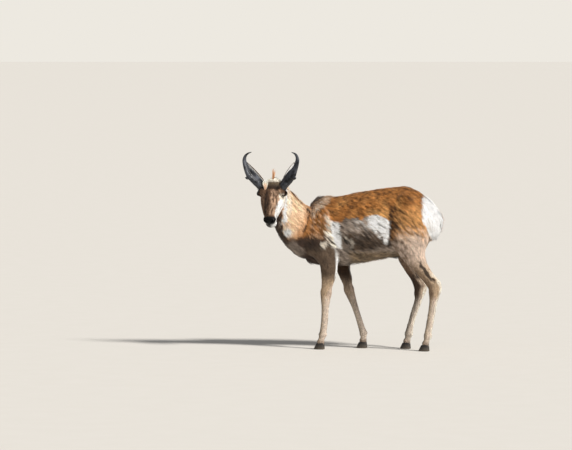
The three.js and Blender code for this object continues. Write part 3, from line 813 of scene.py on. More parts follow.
class Skull(FleshPart):
    """The head without ears and horns, drawn along its own axes."""

    def __init__(self) -> None:
        """Sets the rings from poll to nose."""
        rows = [
            (14, 0, 4, 4), (20, 34, 22, 30), (32, 50, 36, 56), (50, 62, 46, 82), (78, 66, 52, 90),
            (105, 68, 50, 88), (135, 70, 42, 80), (165, 65, 34, 73), (195, 56, 27, 66),
            (222, 47, 21, 60), (246, 36, 17, 58), (265, 34, 12, 53), (280, 27, 5, 38), (289, 3, -12, 16),
        ]
        stations = np.array([
            [along, 0, (top - bottom) / 2, side, (top + bottom) / 2, (top + bottom) / 2, 0, 0, 1]
            for along, side, top, bottom in rows
        ], float)
        loft = Loft(stations, 0.88, (1, 0, 0), 96)
        super().__init__("head", loft, 2.4, 12, (0.58, 0.33, 0.4, 0.28), (0.0, 0.5, 0.87))

    def local(self, points: Array) -> Array:
        """The places in the head's axes."""
        return HEAD.inward(points)

    def box(self) -> tuple[Array, Array]:
        """The corners of a box that holds the head."""
        corners = HEAD.outward([(a, s, o) for a in (-20, 305) for s in (-90, 90) for o in (-110, 80)])
        return corners.min(0) - 12, corners.max(0) + 12

    def swells(self) -> list[Swell]:
        """Orbits, brows, cheekbones, jaw muscles, muzzle, chin, nostrils and the line of the mouth.

        A row is the swell's middle, radii, softness and depth of coat, then True for a hollow.
        """
        pairs = [
            ((100, 57, 19), (29, 27, 27), 8, 2.4),
            ((92, 50, 40), (26, 20, 13), 9, 2.4),
            ((132, 55, -8), (38, 9, 9), 9, 2.4),
            ((98, 46, -42), (40, 20, 34), 14, 2.6),
            ((150, 62, 26), (26, 9, 12), 10, 2.4, True),
            ((262, 22, -8), (22, 15, 15), 8, 1.6),
            ((254, 24, -26), (26, 12, 12), 7, 1.8),
            ((268, 20, -2), (14, 10, 8), 5, 1.2),
            ((282, 15, -4), (10, 4.6, 4.4), 2.5, 1.2, True),
            ((276, 20, 0), (6, 4.5, 3.6), 2.5, 1.2, True),
            ((246, 41, -38), (36, 12, 2.6), 2.4, 1.2, True),
        ]
        single = [
            ((264, 0, -56), (27, 33, 19.5), 8, 1.6),
            ((60, 0, 34), (26, 50, 13), 14, 2.4),
            ((282, 0, -36), (16, 26, 2.6), 2.4, 1.2, True),
            ((289, 0, -16), (6, 2.2, 14), 2.4, 1.2, True),
        ]
        twins = [twin for row in pairs for twin in Swell(*row, in_head=True).mirrored()]
        return twins + [Swell(*row, in_head=True) for row in single]

    def lie(self, points: Array, spot: Spot) -> Array:
        """From the nose back to the poll, and down over the cheeks."""
        back, _, out = HEAD.axes()
        side = self.local(points)[:, 1]
        cheek = step(np.abs(side), 30, 70)[:, None]
        return unit(-back + (-0.5 * out + 0.2 * back) * cheek + 0.1 * noise(points, 50, 31)[:, None])

    def growth(self, points: Array, spot: Spot) -> Growth:
        """Short hair, shortest on the muzzle and none on the nose pad."""
        along, _, out = self.local(points).T
        growth = Growth.even(len(points), 18, 11, 2.0, 1.3)
        muzzle = step(along, 110, 240)
        growth.length -= 4.5 * muzzle
        growth.width -= 0.5 * muzzle
        growth.lift -= 0.5 * muzzle
        growth.density *= 1 - self.bare(points)
        cheek = step(along, 130, 60) * step(out, 10, -40)
        growth.length += 8 * cheek
        growth.width += 0.8 * cheek
        growth.lift += 1.5 * cheek
        return growth

    def bare(self, points: Array) -> Array:
        """1 on the nose pad, the nostrils and the lips' edge, where no hair grows."""
        along, side, out = self.local(points).T
        pad = step(along, 262, 268) * step(out, -34, -28) * step(np.abs(side), 30, 26)
        lips = window(out, -41, -35, 3) * step(along, 228, 250)
        return np.maximum(pad, lips)

    def colour(self, points: Array, spot: Spot) -> Array:
        """Brown face with a dark mask down it, dark brow, white cheeks and lips, black nose; the lit side is
        painted lighter and the shaded side darker, and the brow partly holds painted shadow.
        """
        along, side, out = self.local(points).T
        away = np.abs(side)
        ragged = 3 * noise(points, 12, 33) + 2 * noise(points, 5, 34)
        turn = np.degrees(np.arctan2(spot.rise, away)) + 2 * ragged
        coat = Paint("face", len(points))
        fine = step(noise(self.local(points) * [0.3, 1, 1], 6, 35), -0.5, 0.2)
        bridge = window(along + 2 * ragged, 104, 246, 14) * window(side + ragged, 0, 60, 10)
        # painted light: more tan on the lit side of the face than on the shaded side
        coat.lay("bridge", 0.9 * fine * bridge)
        coat.lay("bridge", 0.3 * fine * window(along, 112, 240, 14) * step(side, -30, -44))
        # the dark mask, set off the middle towards the shaded side: partly the buck's mask and partly painted
        # shade
        outline = [(-30, 100), (-12, 100), (-10, 160), (-6, 250), (-34, 250), (-36, 160)]
        mask = patch(side + ragged, along + ragged, outline, 12)
        coat.lay("mask", 0.95 * mask * step(out, -4, 8) * (0.5 + 0.5 * fine) * step(along, 96, 150) ** 0.3)
        coat.lay("crown", window(along + ragged, 20, 78, 12) * step(out, -6, 6))
        coat.lay("cream", 0.75 * window(along + ragged, 14, 46, 5) * step(out, 0, 10))
        # the dark brow: partly dark hair and partly painted shadow under the crown hair
        brow = step(along + ragged, 56, 84) * step(along + ragged, 101, 93)
        coat.lay("brow", 0.95 * brow * step(out, 4, 16))
        reach = np.interp(along, [132, 142, 158, 190, 225, 252, 268], [-20, 32, 38, 46, 44, 34, 8])
        # painted shade: the white reaches less far on the shaded side
        reach = np.where(side < 0, reach - 36, reach)
        coat.lay("white", step(turn, reach + 5, reach - 5) * window(along + ragged, 136, 270, 12))
        cheek = window(along + ragged, 84, 150, 12) * step(away, 50, 60)
        coat.lay("cream", cheek * step(out + ragged, 2, -8))
        coat.lay("cream", 0.8 * window(along + ragged, 118, 140, 10) * window(side, 46, 80, 8))
        coat.lay("jaw", 0.9 * window(along + ragged, 110, 214, 10) * step(out, -70, -80) * step(away, 20, 32))
        patched = np.hypot((along - 74) / 30, (out + 62 + ragged) / 20)
        coat.lay("black", step(patched, 1.15, 0.8) * step(away, 24, 36))
        coat.lay("white", step(along, 226, 244) * step(out, -12, -22))
        # painted shade on the lips' shaded side
        coat.lay("brow", 0.85 * step(along, 238, 254) * step(out, -22, -30) * step(side + ragged, 6, -4))
        rim = np.hypot((along - 105) / 19, (out - 15) / 15)
        coat.lay("black", step(rim, 1.15, 0.9) * step(away, 50, 60))
        # painted shade: black round the eye on the shaded side
        shaded_eye = patch(along, out, [(60, 60), (118, 40), (112, -6), (84, -10), (54, 20)], 10)
        coat.lay("black", 0.9 * shaded_eye * step(side, -44, -54))
        coat.lay("nape", step(along, 30, 18) * step(out, 0, -8))
        coat.lay("black", np.maximum(self.bare(points), step(along + ragged, 250, 257) * step(out, -22, -14)))
        return coat.hue * self.streaks(points, 0.42)


class Leg(FleshPart):
    """One leg from inside the trunk to the hooves."""

    def __init__(self, name: str, rows: list[tuple], island: tuple[float, float, float, float]) -> None:
        """Sets the rings, whose up is the animal's rear.

        Args:
            name: The frame's node.
            rows: x, y, z, half width across and half width fore and aft, from the top.
            island: Left, low, width and height in the unwrap.
        """
        stations = np.array([[x, y, z, a, f, f, 1, 0, 0] for x, y, z, a, f in rows], float)
        super().__init__(name, Loft(stations, 0.95, samples=120), 1.4, 30, island)
        self.hind = "hind" in name
        self.side = -1.0 if "left" in name else 1.0

    def swells(self) -> list[Swell]:
        """Knee or hock, the tendon behind it, and the pad behind the fetlock."""
        def near(z: float, behind: float) -> tuple[float, float, float]:
            """A place on the middle line at a height, and some way behind it."""
            order = np.argsort(self.loft.centres[:, 2])
            x, y = (np.interp(z, self.loft.centres[order, 2], self.loft.centres[order, k]) for k in (0, 1))
            return float(x + behind), float(y), z
        fetlock = Swell(near(92, 13), (9, 14, 13), 8, 2.5)
        if self.hind:
            x, y, z = near(404, 24)
            web = [Swell((x - 14, y + s * 24, z + 40), (13, 10, 42), 8, 3, hollow=True) for s in (-1, 1)]
            return [fetlock, Swell(near(396, 24), (12, 13, 16), 8, 3), *web]
        return [fetlock, Swell(near(336, -8), (17, 21, 24), 12, 3)]

    def lie(self, points: Array, spot: Spot) -> Array:
        """Down the leg, and rearwards over the thigh and upper arm."""
        rearward = np.array([0.22, 0, 0]) * step(points[:, 2], 420, 620)[:, None]
        return unit(self.loft.ahead(spot.way) + rearward)

    def growth(self, points: Array, spot: Spot) -> Growth:
        """Short hair that grows shorter downwards, with a longer rear edge."""
        z = points[:, 2]
        growth = Growth.even(len(points), 9, 13, 2.8, 1.4)
        high = step(z, 400, 620)
        growth.length += 15 * high
        growth.width += 1.6 * high
        growth.lift += 1.4 * high
        growth.density -= 4 * high
        return growth

    def colour(self, points: Array, spot: Spot) -> Array:
        """Tan outside, greyer inside, dark forearm and shin, pale rear edge, dark above the hoof; the inner
        sides and the far legs are darkened as painted shade.
        """
        x, y, z = points.T
        row = self.loft.at(spot.way)
        ragged = 0.2 * noise(points, 16, 41)
        rear = spot.rise / np.maximum(row[:, 13], 1)
        back = rear + ragged
        outer = (y - row[:, 1]) * self.side / np.maximum(row[:, 12], 1)
        near = self.side < 0
        coat = Paint("leg", len(points))
        coat.lay("shin", 0.95 * step(back, -0.45, -0.75) * step(z, 330, 280))
        coat.lay("thigh", step(back, -0.4, 0.1) * step(z, 330, 290))
        # painted shade on the inner sides
        coat.lay("flank", 0.5 * step(outer + ragged, -0.3, -0.7) * step(z, 640, 560))
        if self.hind:
            # dark front of the hind leg, laid stronger on the far leg as painted shade
            coat.lay("shin", (0.6 if near else 0.95) * step(back, 0.2, -0.3) * window(z, 300, 560, 60))
            # painted shade on the front of the far hind leg
            coat.lay("chest", (0.0 if near else 0.95) * step(back, 0.4, -0.1) * window(z, 90, 440, 60))
            # less pale thigh on the far leg: painted shade
            coat.lay("thigh", step(z, 440, 570) * (1.0 if near else 0.4))
            mottled = step(noise(points, 15, 42), -0.3, 0.4)
            coat.lay("shin", 0.8 * mottled * step(x, 290, 190) * window(z, 500, 690, 60))
            coat.lay("haunch", 0.8 * step(z + 260 * ragged, 610, 750))
            # painted shade in the hollow before the hock
            coat.lay("clump", 0.9 * window(z, 404, 520, 30) * window(back, 0.1, 0.55, 0.16))
            coat.lay("cream", 0.8 * step(back, 0.6, 0.8) * step(z, 480, 430))
        else:
            # painted shade on the upper forelegs, more on the far one
            coat.lay("chest", (0.85 if near else 1.0) * step(z, 370 if near else 320, 450))
            # painted shade at the front of the upper forelegs
            coat.lay("clump", 0.55 * window(z, 580, 700, 60) * step(x, -240, -290))
            # painted shade on the far foreleg
            coat.lay("fold", (0.0 if near else 0.7) * step(z, 360, 460))
            # white rear edge, weaker on the far leg as painted shade
            coat.lay("white", step(rear, 0.8, 0.94) * window(z, 420, 640, 40) * (1.0 if near else 0.3))
            coat.lay("thigh", 0.8 * step(back, 0.3, 0.7) * step(z, 400, 360))
        coat.lay("cream", 0.3 * step(z, 330, 240))
        coat.lay("shin", 0.6 * step(z, 66, 44))
        high = step(z + 60 * ragged, *((600, 670) if self.hind else (570, 620)))
        return mix(coat.hue * self.streaks(points, 0.3), TRUNK.colour(points, spot), high)


class Tail(FleshPart):
    """The short tail on the rump patch."""

    def __init__(self) -> None:
        """Sets the rings, which hang behind the rump."""
        rows = [
            (350, 0, 806, 14, 12, 12), (369, 0, 800, 20, 13, 14), (386, 0, 774, 24, 12, 12),
            (391, 0, 740, 23, 11, 10), (386, 0, 712, 16, 9, 8), (379, 0, 692, 2, 2, 2),
        ]
        stations = np.array([[*row, 1, 0, 0.2] for row in rows], float)
        super().__init__("tail", Loft(stations, samples=48), 4, 8, (0.9, 0.86, 0.09, 0.12))

    def growth(self, points: Array, spot: Spot) -> Growth:
        """Fine hair, longer than the rump's at the tip."""
        growth = Growth.even(len(points), 8, 18, 3.4, 1.8)
        growth.length += 6 * step(spot.way, 0.5, 1)
        return growth

    def colour(self, points: Array, spot: Spot) -> Array:
        """White with a brown line down the middle."""
        coat = Paint("white", len(points))
        coat.lay("nape", 0.7 * step(np.abs(points[:, 1]), 7, 2) * step(spot.rise, -2, 3))
        return coat.hue


LEG_ROWS = {
    "leg_fore_left": [
        (-286, -60, 826, 20, 28), (-300, -80, 786, 30, 58), (-318, -92, 716, 41, 86),
        (-312, -101, 640, 42, 94), (-278, -103, 576, 39, 78), (-256, -101, 515, 35, 56),
        (-251, -99, 450, 31, 47), (-259, -96, 396, 27, 37), (-265, -94, 360, 25, 32),
        (-269, -92, 334, 26, 34), (-272, -90, 300, 21, 30), (-276, -87, 240, 15.5, 22),
        (-281, -84, 160, 15, 21), (-289, -80, 108, 17, 20), (-293, -78, 86, 20, 23),
        (-299, -77, 64, 17, 18), (-305, -76, 44, 20, 21), (-308, -76, 26, 16, 16),
    ],
    "leg_fore_right": [
        (-286, 60, 826, 20, 28), (-300, 80, 786, 30, 58), (-316, 92, 716, 41, 86),
        (-300, 101, 640, 42, 92), (-256, 103, 576, 39, 72), (-223, 101, 512, 35, 49),
        (-206, 99, 450, 31, 39), (-190, 96, 402, 27, 33), (-182, 94, 370, 25, 28),
        (-175, 92, 344, 26, 31), (-162, 90, 306, 21, 26), (-137, 87, 240, 15.5, 19),
        (-110, 84, 160, 15, 18), (-92, 80, 108, 17, 20), (-85, 78, 86, 20, 23),
        (-84, 77, 64, 17, 18), (-86, 76, 44, 20, 21), (-88, 76, 26, 16, 16),
    ],
    "leg_hind_left": [
        (196, -38, 890, 26, 44), (204, -66, 846, 38, 82), (214, -84, 776, 50, 112),
        (222, -94, 704, 52, 120), (230, -98, 642, 50, 110), (242, -100, 586, 44, 84),
        (264, -101, 530, 36, 58), (297, -100, 476, 29, 42), (336, -98, 426, 25, 37),
        (371, -96, 382, 24, 41), (372, -94, 340, 23, 35), (365, -92, 290, 18, 25),
        (354, -89, 220, 16, 22), (341, -86, 150, 16, 21), (333, -83, 110, 18, 21),
        (330, -81, 88, 20, 24), (324, -80, 64, 17, 18), (317, -79, 44, 20, 21), (313, -79, 26, 16, 16),
    ],
    "leg_hind_right": [
        (196, 38, 890, 26, 44), (204, 66, 846, 38, 82), (210, 84, 776, 50, 112),
        (206, 94, 704, 52, 118), (193, 98, 642, 50, 106), (178, 100, 586, 44, 80),
        (177, 101, 530, 36, 58), (197, 100, 470, 29, 42), (227, 98, 412, 25, 34),
        (250, 96, 362, 24, 39), (246, 94, 326, 23, 33), (238, 92, 280, 18, 23),
        (216, 89, 214, 16, 20), (198, 86, 150, 16, 19), (189, 83, 110, 18, 21),
        (185, 81, 88, 20, 24), (180, 80, 64, 17, 18), (174, 79, 44, 20, 21), (171, 79, 26, 16, 16),
    ],
}


# The skin as one surface


@dataclass
class Surface:
    """A closed surface of four-sided faces, in millimetres of the animal's frame."""

    points: Array
    quads: Index

    def normals(self) -> Array:
        """Outward directions at the points, each the sum of its faces' own."""
        corners = self.points[self.quads]
        face = np.cross(corners[:, 2] - corners[:, 0], corners[:, 3] - corners[:, 1])
        total = np.zeros_like(self.points)
        for corner, axis in product(range(4), range(3)):
            total[:, axis] += np.bincount(self.quads[:, corner], face[:, axis], len(self.points))
        return unit(total)

    def relaxed(self, rounds: int) -> "Surface":
        """Evens the surface: each point goes half way to the mean of its neighbours, then 0.53 back.

        Args:
            rounds: How many times.

        Returns:
            The evened surface, with the same faces.
        """
        points = self.points.copy()
        count = len(points)
        number = np.zeros(count)
        for corner in range(4):
            number += 2 * np.bincount(self.quads[:, corner], minlength=count)
        for share in (0.5, -0.53) * rounds:
            mean = np.zeros_like(points)
            for corner, turn, axis in product(range(4), (1, -1), range(3)):
                other = points[self.quads[:, (corner + turn) % 4], axis]
                mean[:, axis] += np.bincount(self.quads[:, corner], other, count)
            points += share * (mean / number[:, None] - points)
        return Surface(points, self.quads)

    def scatter(self, density: Array, rng: np.random.Generator) -> tuple[Array, Array]:
        """Draws places on the surface.

        Args:
            density: Places to a square centimetre at each point.
            rng: The seeded source of draws.

        Returns:
            The places and the outward direction at each.
        """
        halves = np.vstack([self.quads[:, [0, 1, 2]], self.quads[:, [0, 2, 3]]])
        a, b, c = (self.points[halves[:, k]] for k in range(3))
        area = np.linalg.norm(np.cross(b - a, c - a), axis=1) / 2
        wanted = area / 100 * density[halves].mean(1)
        number = np.floor(wanted + rng.random(len(wanted))).astype(int)
        chosen = np.repeat(np.arange(len(halves)), number)
        one, two = rng.random((2, len(chosen)))
        fold = one + two > 1
        one, two = np.where(fold, 1 - one, one), np.where(fold, 1 - two, two)
        share = np.column_stack([1 - one - two, one, two])
        corners = halves[chosen]
        normals = self.normals()
        places = (self.points[corners] * share[:, :, None]).sum(1)
        return places, unit((normals[corners] * share[:, :, None]).sum(1))


@dataclass
class Field:
    """Distances from the skin on a box grid whose lines are close together round the head."""

    fine: float = 2.3
    coarse: float = 6.4
    leg_pitch: float = 5.4
    far: float = 60.0
    low: tuple[float, float, float] = (-660.0, -440.0, 14.0)
    high: tuple[float, float, float] = (412.0, 168.0, 1012.0)
    head_low: tuple[float, float, float] = (-636.0, -410.0, 748.0)
    head_high: tuple[float, float, float] = (-472.0, -170.0, 1004.0)
    lines: list[Array] = field(default_factory=list)

    def __post_init__(self) -> None:
        """Lays the grid lines and fills the grid with a far distance."""
        for axis in range(3):
            coarse = self.coarse if axis == 0 else self.leg_pitch
            below = np.arange(self.head_low[axis] - coarse, self.low[axis] - coarse, -coarse)[::-1]
            inner = np.arange(self.head_low[axis], self.head_high[axis], self.fine)
            above = np.arange(inner[-1] + coarse, self.high[axis] + coarse, coarse)
            self.lines.append(np.concatenate([below, inner, above]))
        shape = tuple(len(line) for line in self.lines)
        self.values = np.full(shape, self.far, np.float32)
        self.depths = np.zeros(shape, np.float32)

    def inside(self, low: Array, high: Array) -> tuple[tuple[slice, slice, slice], Array]:
        """The part of the grid in a box, as slices and as places."""
        cuts = tuple(
            slice(max(int(np.searchsorted(line, a)), 0), int(np.searchsorted(line, b)))
            for line, a, b in zip(self.lines, low, high)
        )
        mesh = np.meshgrid(*(line[cut] for line, cut in zip(self.lines, cuts)), indexing="ij")
        return cuts, np.stack(mesh, axis=-1).reshape(-1, 3)

    def join(self, distance: Array, cuts: tuple[slice, slice, slice], softness: float, depth: float) -> None:
        """Joins a solid to the body with a soft seam, by the smooth minimum b + (a - b)h - kh(1 - h).

        Args:
            distance: The solid's distances at the cut's places.
            cuts: The cut of the grid.
            softness: The seam's width k.
            depth: The coat's depth on the solid.
        """
        values, depths = self.values[cuts], self.depths[cuts]
        other = distance.reshape(values.shape).astype(np.float32)
        share = np.clip(0.5 + 0.5 * (values - other) / softness, 0, 1)
        self.values[cuts] = values + (other - values) * share - softness * share * (1 - share)
        self.depths[cuts] = depths + (depth - depths) * share

    def cut(self, distance: Array, cuts: tuple[slice, slice, slice], softness: float) -> None:
        """Cuts a solid from the body with a soft edge, by the smooth maximum of the body and its inverse."""
        values = -self.values[cuts]
        other = distance.reshape(values.shape).astype(np.float32)
        share = np.clip(0.5 + 0.5 * (values - other) / softness, 0, 1)
        self.values[cuts] = -(values + (other - values) * share - softness * share * (1 - share))

    def level(self) -> Grid:
        """The distance over its own slope, which makes it true near the skin, sunk by the coat's depth."""
        slope = np.zeros_like(self.values)
        for axis, line in enumerate(self.lines):
            slope += np.gradient(self.values, line.astype(np.float32), axis=axis) ** 2
        slope = np.clip(np.sqrt(slope), 0.7, 2.5)
        return self.values / slope + self.depths

    def surface(self) -> Surface:
        """Draws the skin: one point in each grid cell that it crosses, at the mean of its edge crossings.

        Returns:
            The skin, its faces turned outwards.
        """
        values = self.level()
        solid = values < 0
        size = [length - 1 for length in solid.shape]
        count = np.zeros(size, np.int8)
        for corner in product((0, 1), repeat=3):
            count += solid[tuple(slice(c, c + n) for c, n in zip(corner, size))]
        crossed = (count > 0) & (count < 8)
        cells = np.argwhere(crossed)
        number = np.full(size, -1, np.int64)
        number[crossed] = np.arange(len(cells))
        total, hits = np.zeros((len(cells), 3)), np.zeros(len(cells))
        for axis, (one, two) in product(range(3), product((0, 1), repeat=2)):
            start = cells.copy()
            start[:, (axis + 1) % 3] += one
            start[:, (axis + 2) % 3] += two
            end = start.copy()
            end[:, axis] += 1
            first, last = values[tuple(start.T)], values[tuple(end.T)]
            hit = (first < 0) != (last < 0)
            share = np.where(hit, first / np.where(hit, first - last, 1), 0)
            place = np.column_stack([line[start[:, k]] for k, line in enumerate(self.lines)])
            line = self.lines[axis]
            place[:, axis] += share * (line[end[:, axis]] - line[start[:, axis]])
            total += place * hit[:, None]
            hits += hit
        return Surface(total / hits[:, None], self.faces(solid, number))

    @staticmethod
    def faces(solid: NDArray[np.bool_], number: Index) -> Index:
        """One face round each grid edge that the skin crosses, through the four cells beside it.

        Args:
            solid: Which grid places are inside.
            number: The point's number in each cell.

        Returns:
            Rows of four point numbers.
        """
        found = []
        for axis in range(3):
            first, second = (axis + 1) % 3, (axis + 2) % 3
            one, two = np.eye(3, dtype=int)[[first, second]]
            near = np.moveaxis(solid, axis, 0)
            change = np.moveaxis(near[:-1] != near[1:], 0, axis)
            edge = np.argwhere(change)
            fits = (edge @ one > 0) & (edge @ two > 0)
            fits &= (edge @ one < solid.shape[first] - 1) & (edge @ two < solid.shape[second] - 1)
            edge = edge[fits]
            ring = [number[tuple((edge - shift).T)] for shift in (one + two, two, 0 * one, one)]
            quads = np.column_stack(ring)
            inward = ~solid[tuple(edge.T)]
            quads[inward] = quads[inward][:, ::-1]
            found.append(quads)
        return np.vstack(found)


TRUNK, NECK, SKULL = Trunk(), Neck(), Skull()


class Body:
    """All parts of flesh, the skin over them, and what grows where."""

    def __init__(self) -> None:
        """Makes the parts in the order in which they are joined."""
        legs = [
            Leg(name, rows, (0.01 + 0.2 * column, 0.63, 0.19, 0.36))
            for column, (name, rows) in enumerate(LEG_ROWS.items())
        ]
        self.parts: list[FleshPart] = [TRUNK, NECK, *legs, Tail(), SKULL]

    def skin(self) -> Surface:
        """Joins the parts into one surface that lies under the coat."""
        grid = Field()
        for part in self.parts:
            cuts, points = grid.inside(*part.box())
            grid.join(part.spot(points).distance, cuts, part.softness, part.depth)
            for swell in part.swells():
                cuts, points = grid.inside(*swell.box())
                distance = swell.distance(points)
                if swell.hollow:
                    grid.cut(distance, cuts, swell.softness)
                else:
                    grid.join(distance, cuts, swell.softness, swell.depth)
        log.info("grid of %s places", "x".join(str(n) for n in grid.values.shape))
        return grid.surface().relaxed(2)

    def survey(self, points: Array) -> "Survey":
        """Finds the parts that places belong to."""
        spots = [part.spot(points) for part in self.parts]
        distances = np.column_stack([spot.distance for spot in spots])
        return Survey(self.parts, points, spots, distances)


@dataclass
class Survey:
    """Places on the skin with their spot on every part, read part by part and blended."""

    parts: list[FleshPart]
    points: Array
    spots: list[Spot]
    distances: Array

    def blended(self, read: str, soft: float) -> Array:
        """One reading of every part, weighed by exp(-distance / soft) and summed.

        Args:
            read: The reading's method on a part.
            soft: How far one part's reading reaches into the next.

        Returns:
            One row for each place.
        """
        weight = np.exp(-(self.distances - self.distances.min(1, keepdims=True)) / soft)
        weight /= weight.sum(1, keepdims=True)
        total = 0.0
        for column, (part, spot) in enumerate(zip(self.parts, self.spots)):
            used = weight[:, column] > SLIGHT_WEIGHT
            if not used.any():
                continue
            some = Spot(spot.way[used], spot.across[used], spot.rise[used], spot.distance[used])
            found = getattr(part, read)(self.points[used], some)
            rows = found.rows() if isinstance(found, Growth) else found
            if isinstance(total, float):
                total = np.zeros((len(self.points), rows.shape[1]))
            total[used] += rows * weight[used, column][:, None]
        return total

    def nearest(self) -> Index:
        """The number of the part that each place is on."""
        return self.distances.argmin(1)

    def unwrap(self) -> Array:
        """Each place on the unwrap of the part it is on."""
        near = self.nearest()
        flat = np.zeros((len(self.points), 2))
        for column, (part, spot) in enumerate(zip(self.parts, self.spots)):
            flat[near == column] = part.unwrap(spot)[near == column]
        return flat


# Meshes


@dataclass
class MeshData:
    """A mesh before Blender has it: points in mm, faces of three or four sides, colours, maps and normals."""

    points: Array
    faces: list[Index]
    colours: Array | None = None
    maps: dict[str, Array] = field(default_factory=dict)
    normals: Array | None = None
    values: dict[str, Array] = field(default_factory=dict)

    def joined(self, other: "MeshData") -> "MeshData":
        """This mesh and another as one, with both sets of points and colours."""
        shift = len(self.points)
        colours = None
        if self.colours is not None and other.colours is not None:
            colours = np.vstack([self.colours, other.colours])
        values = {
            name: np.concatenate([value, other.values.get(name, np.zeros(len(other.points)))])
            for name, value in self.values.items()
        }
        points = np.vstack([self.points, other.points])
        return MeshData(points, [*self.faces, *(f + shift for f in other.faces)], colours, values=values)

    def build(self, name: str, material: bpy.types.Material, slot: str, nodes: tuple[str, ...] = ()) -> None:
        """Makes the Blender object and gives it to the frame.

        Args:
            name: The piece's name.
            material: Its finish.
            slot: The record's slot for that finish; not used.
            nodes: CAD nodes that the piece stands for.
        """
        mesh = bpy.data.meshes.new(name)
        places = PLACEMENT.world(self.points)
        loops = np.concatenate([faces.ravel() for faces in self.faces])
        sizes = np.concatenate([np.full(len(faces), faces.shape[1]) for faces in self.faces])
        starts = np.concatenate([[0], np.cumsum(sizes)[:-1]])
        mesh.vertices.add(len(places))
        mesh.vertices.foreach_set("co", places.ravel())
        mesh.loops.add(len(loops))
        mesh.loops.foreach_set("vertex_index", loops.astype(np.int32))
        mesh.polygons.add(len(sizes))
        mesh.polygons.foreach_set("loop_start", starts.astype(np.int32))
        mesh.update(calc_edges=True)
        for title, flat in self.maps.items():
            layer = mesh.uv_layers.new(name=title)
            layer.uv.foreach_set("vector", flat[loops].ravel())
        if self.colours is not None:
            shade = mesh.color_attributes.new("CoatColour", "FLOAT_COLOR", "POINT")
            shade.data.foreach_set("color", np.column_stack([self.colours, np.ones(len(places))]).ravel())
        for title, value in self.values.items():
            layer = mesh.attributes.new(title, "FLOAT", "POINT")
            layer.data.foreach_set("value", value.astype(np.float32))
        mesh.polygons.foreach_set("use_smooth", np.ones(len(sizes), bool))
        mesh.validate()
        if self.normals is not None:
            mesh.normals_split_custom_set_from_vertices(self.normals.tolist())
        mesh.materials.append(material)
        piece = bpy.data.objects.new(name, mesh)
        bpy.context.scene.collection.objects.link(piece)
        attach(piece, "root")
        if nodes:
            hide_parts(*nodes)
        log.info("%s: %d triangles", name, int((sizes - 2).sum()))


def grid_places(around: int, along: int) -> tuple[Array, Array]:
    """Angle and way of every point of closed_grid: ring after ring, then the two poles."""
    angle = np.linspace(0, 2 * math.pi, around, endpoint=False)
    turn, way = np.meshgrid(angle, np.linspace(0, 1, along + 1)[1:-1])
    return np.concatenate([turn.ravel(), [0, 0]]), np.concatenate([way.ravel(), [0, 1]])


def band(level: Index, beyond: Index, around: int) -> Index:
    """Four-sided faces from rings of points, given by their first numbers, to the rings beyond them."""
    ring = np.arange(around)
    after = (ring + 1) % around
    return np.stack([level + ring, level + after, beyond + after, beyond + ring], axis=-1).reshape(-1, 4)


def closed_grid(around: int, along: int, place: Callable[[Array, Array], Array]) -> MeshData:
    """A closed skin over the grid of angle and way, with one point at each pole.

    Args:
        around: Faces round each ring.
        along: Steps from pole to pole.
        place: Gives places for arrays of angle (0 to 2 pi) and way (0 to 1).

    Returns:
        The mesh, turned outwards by the sign of its volume.
    """
    angle, way = grid_places(around, along)
    body = place(angle[:-2], way[:-2])
    ends = place(angle[-2:], way[-2:])
    points = np.vstack([body, ends])
    rows = np.arange(along - 2)[:, None] * around
    ring = np.arange(around)
    after = (ring + 1) % around
    top = (along - 2) * around
    caps = np.vstack([
        np.column_stack([after, ring, np.full(around, len(body))]),
        np.column_stack([top + ring, top + after, np.full(around, len(body) + 1)]),
    ])
    return outward(MeshData(points, [band(rows, rows + around, around), caps]))


def outward(mesh: MeshData) -> MeshData:
    """Turns a closed mesh's faces outwards if its volume, the sum of a.(b x c) / 6, is below 0."""
    volume = 0.0
    for faces in mesh.faces:
        corners = mesh.points[faces]
        for k in range(1, faces.shape[1] - 1):
            volume += (corners[:, 0] * np.cross(corners[:, k], corners[:, k + 1])).sum()
    if volume < 0:
        mesh.faces = [faces[:, ::-1] for faces in mesh.faces]
    return mesh


# Tufts and locks


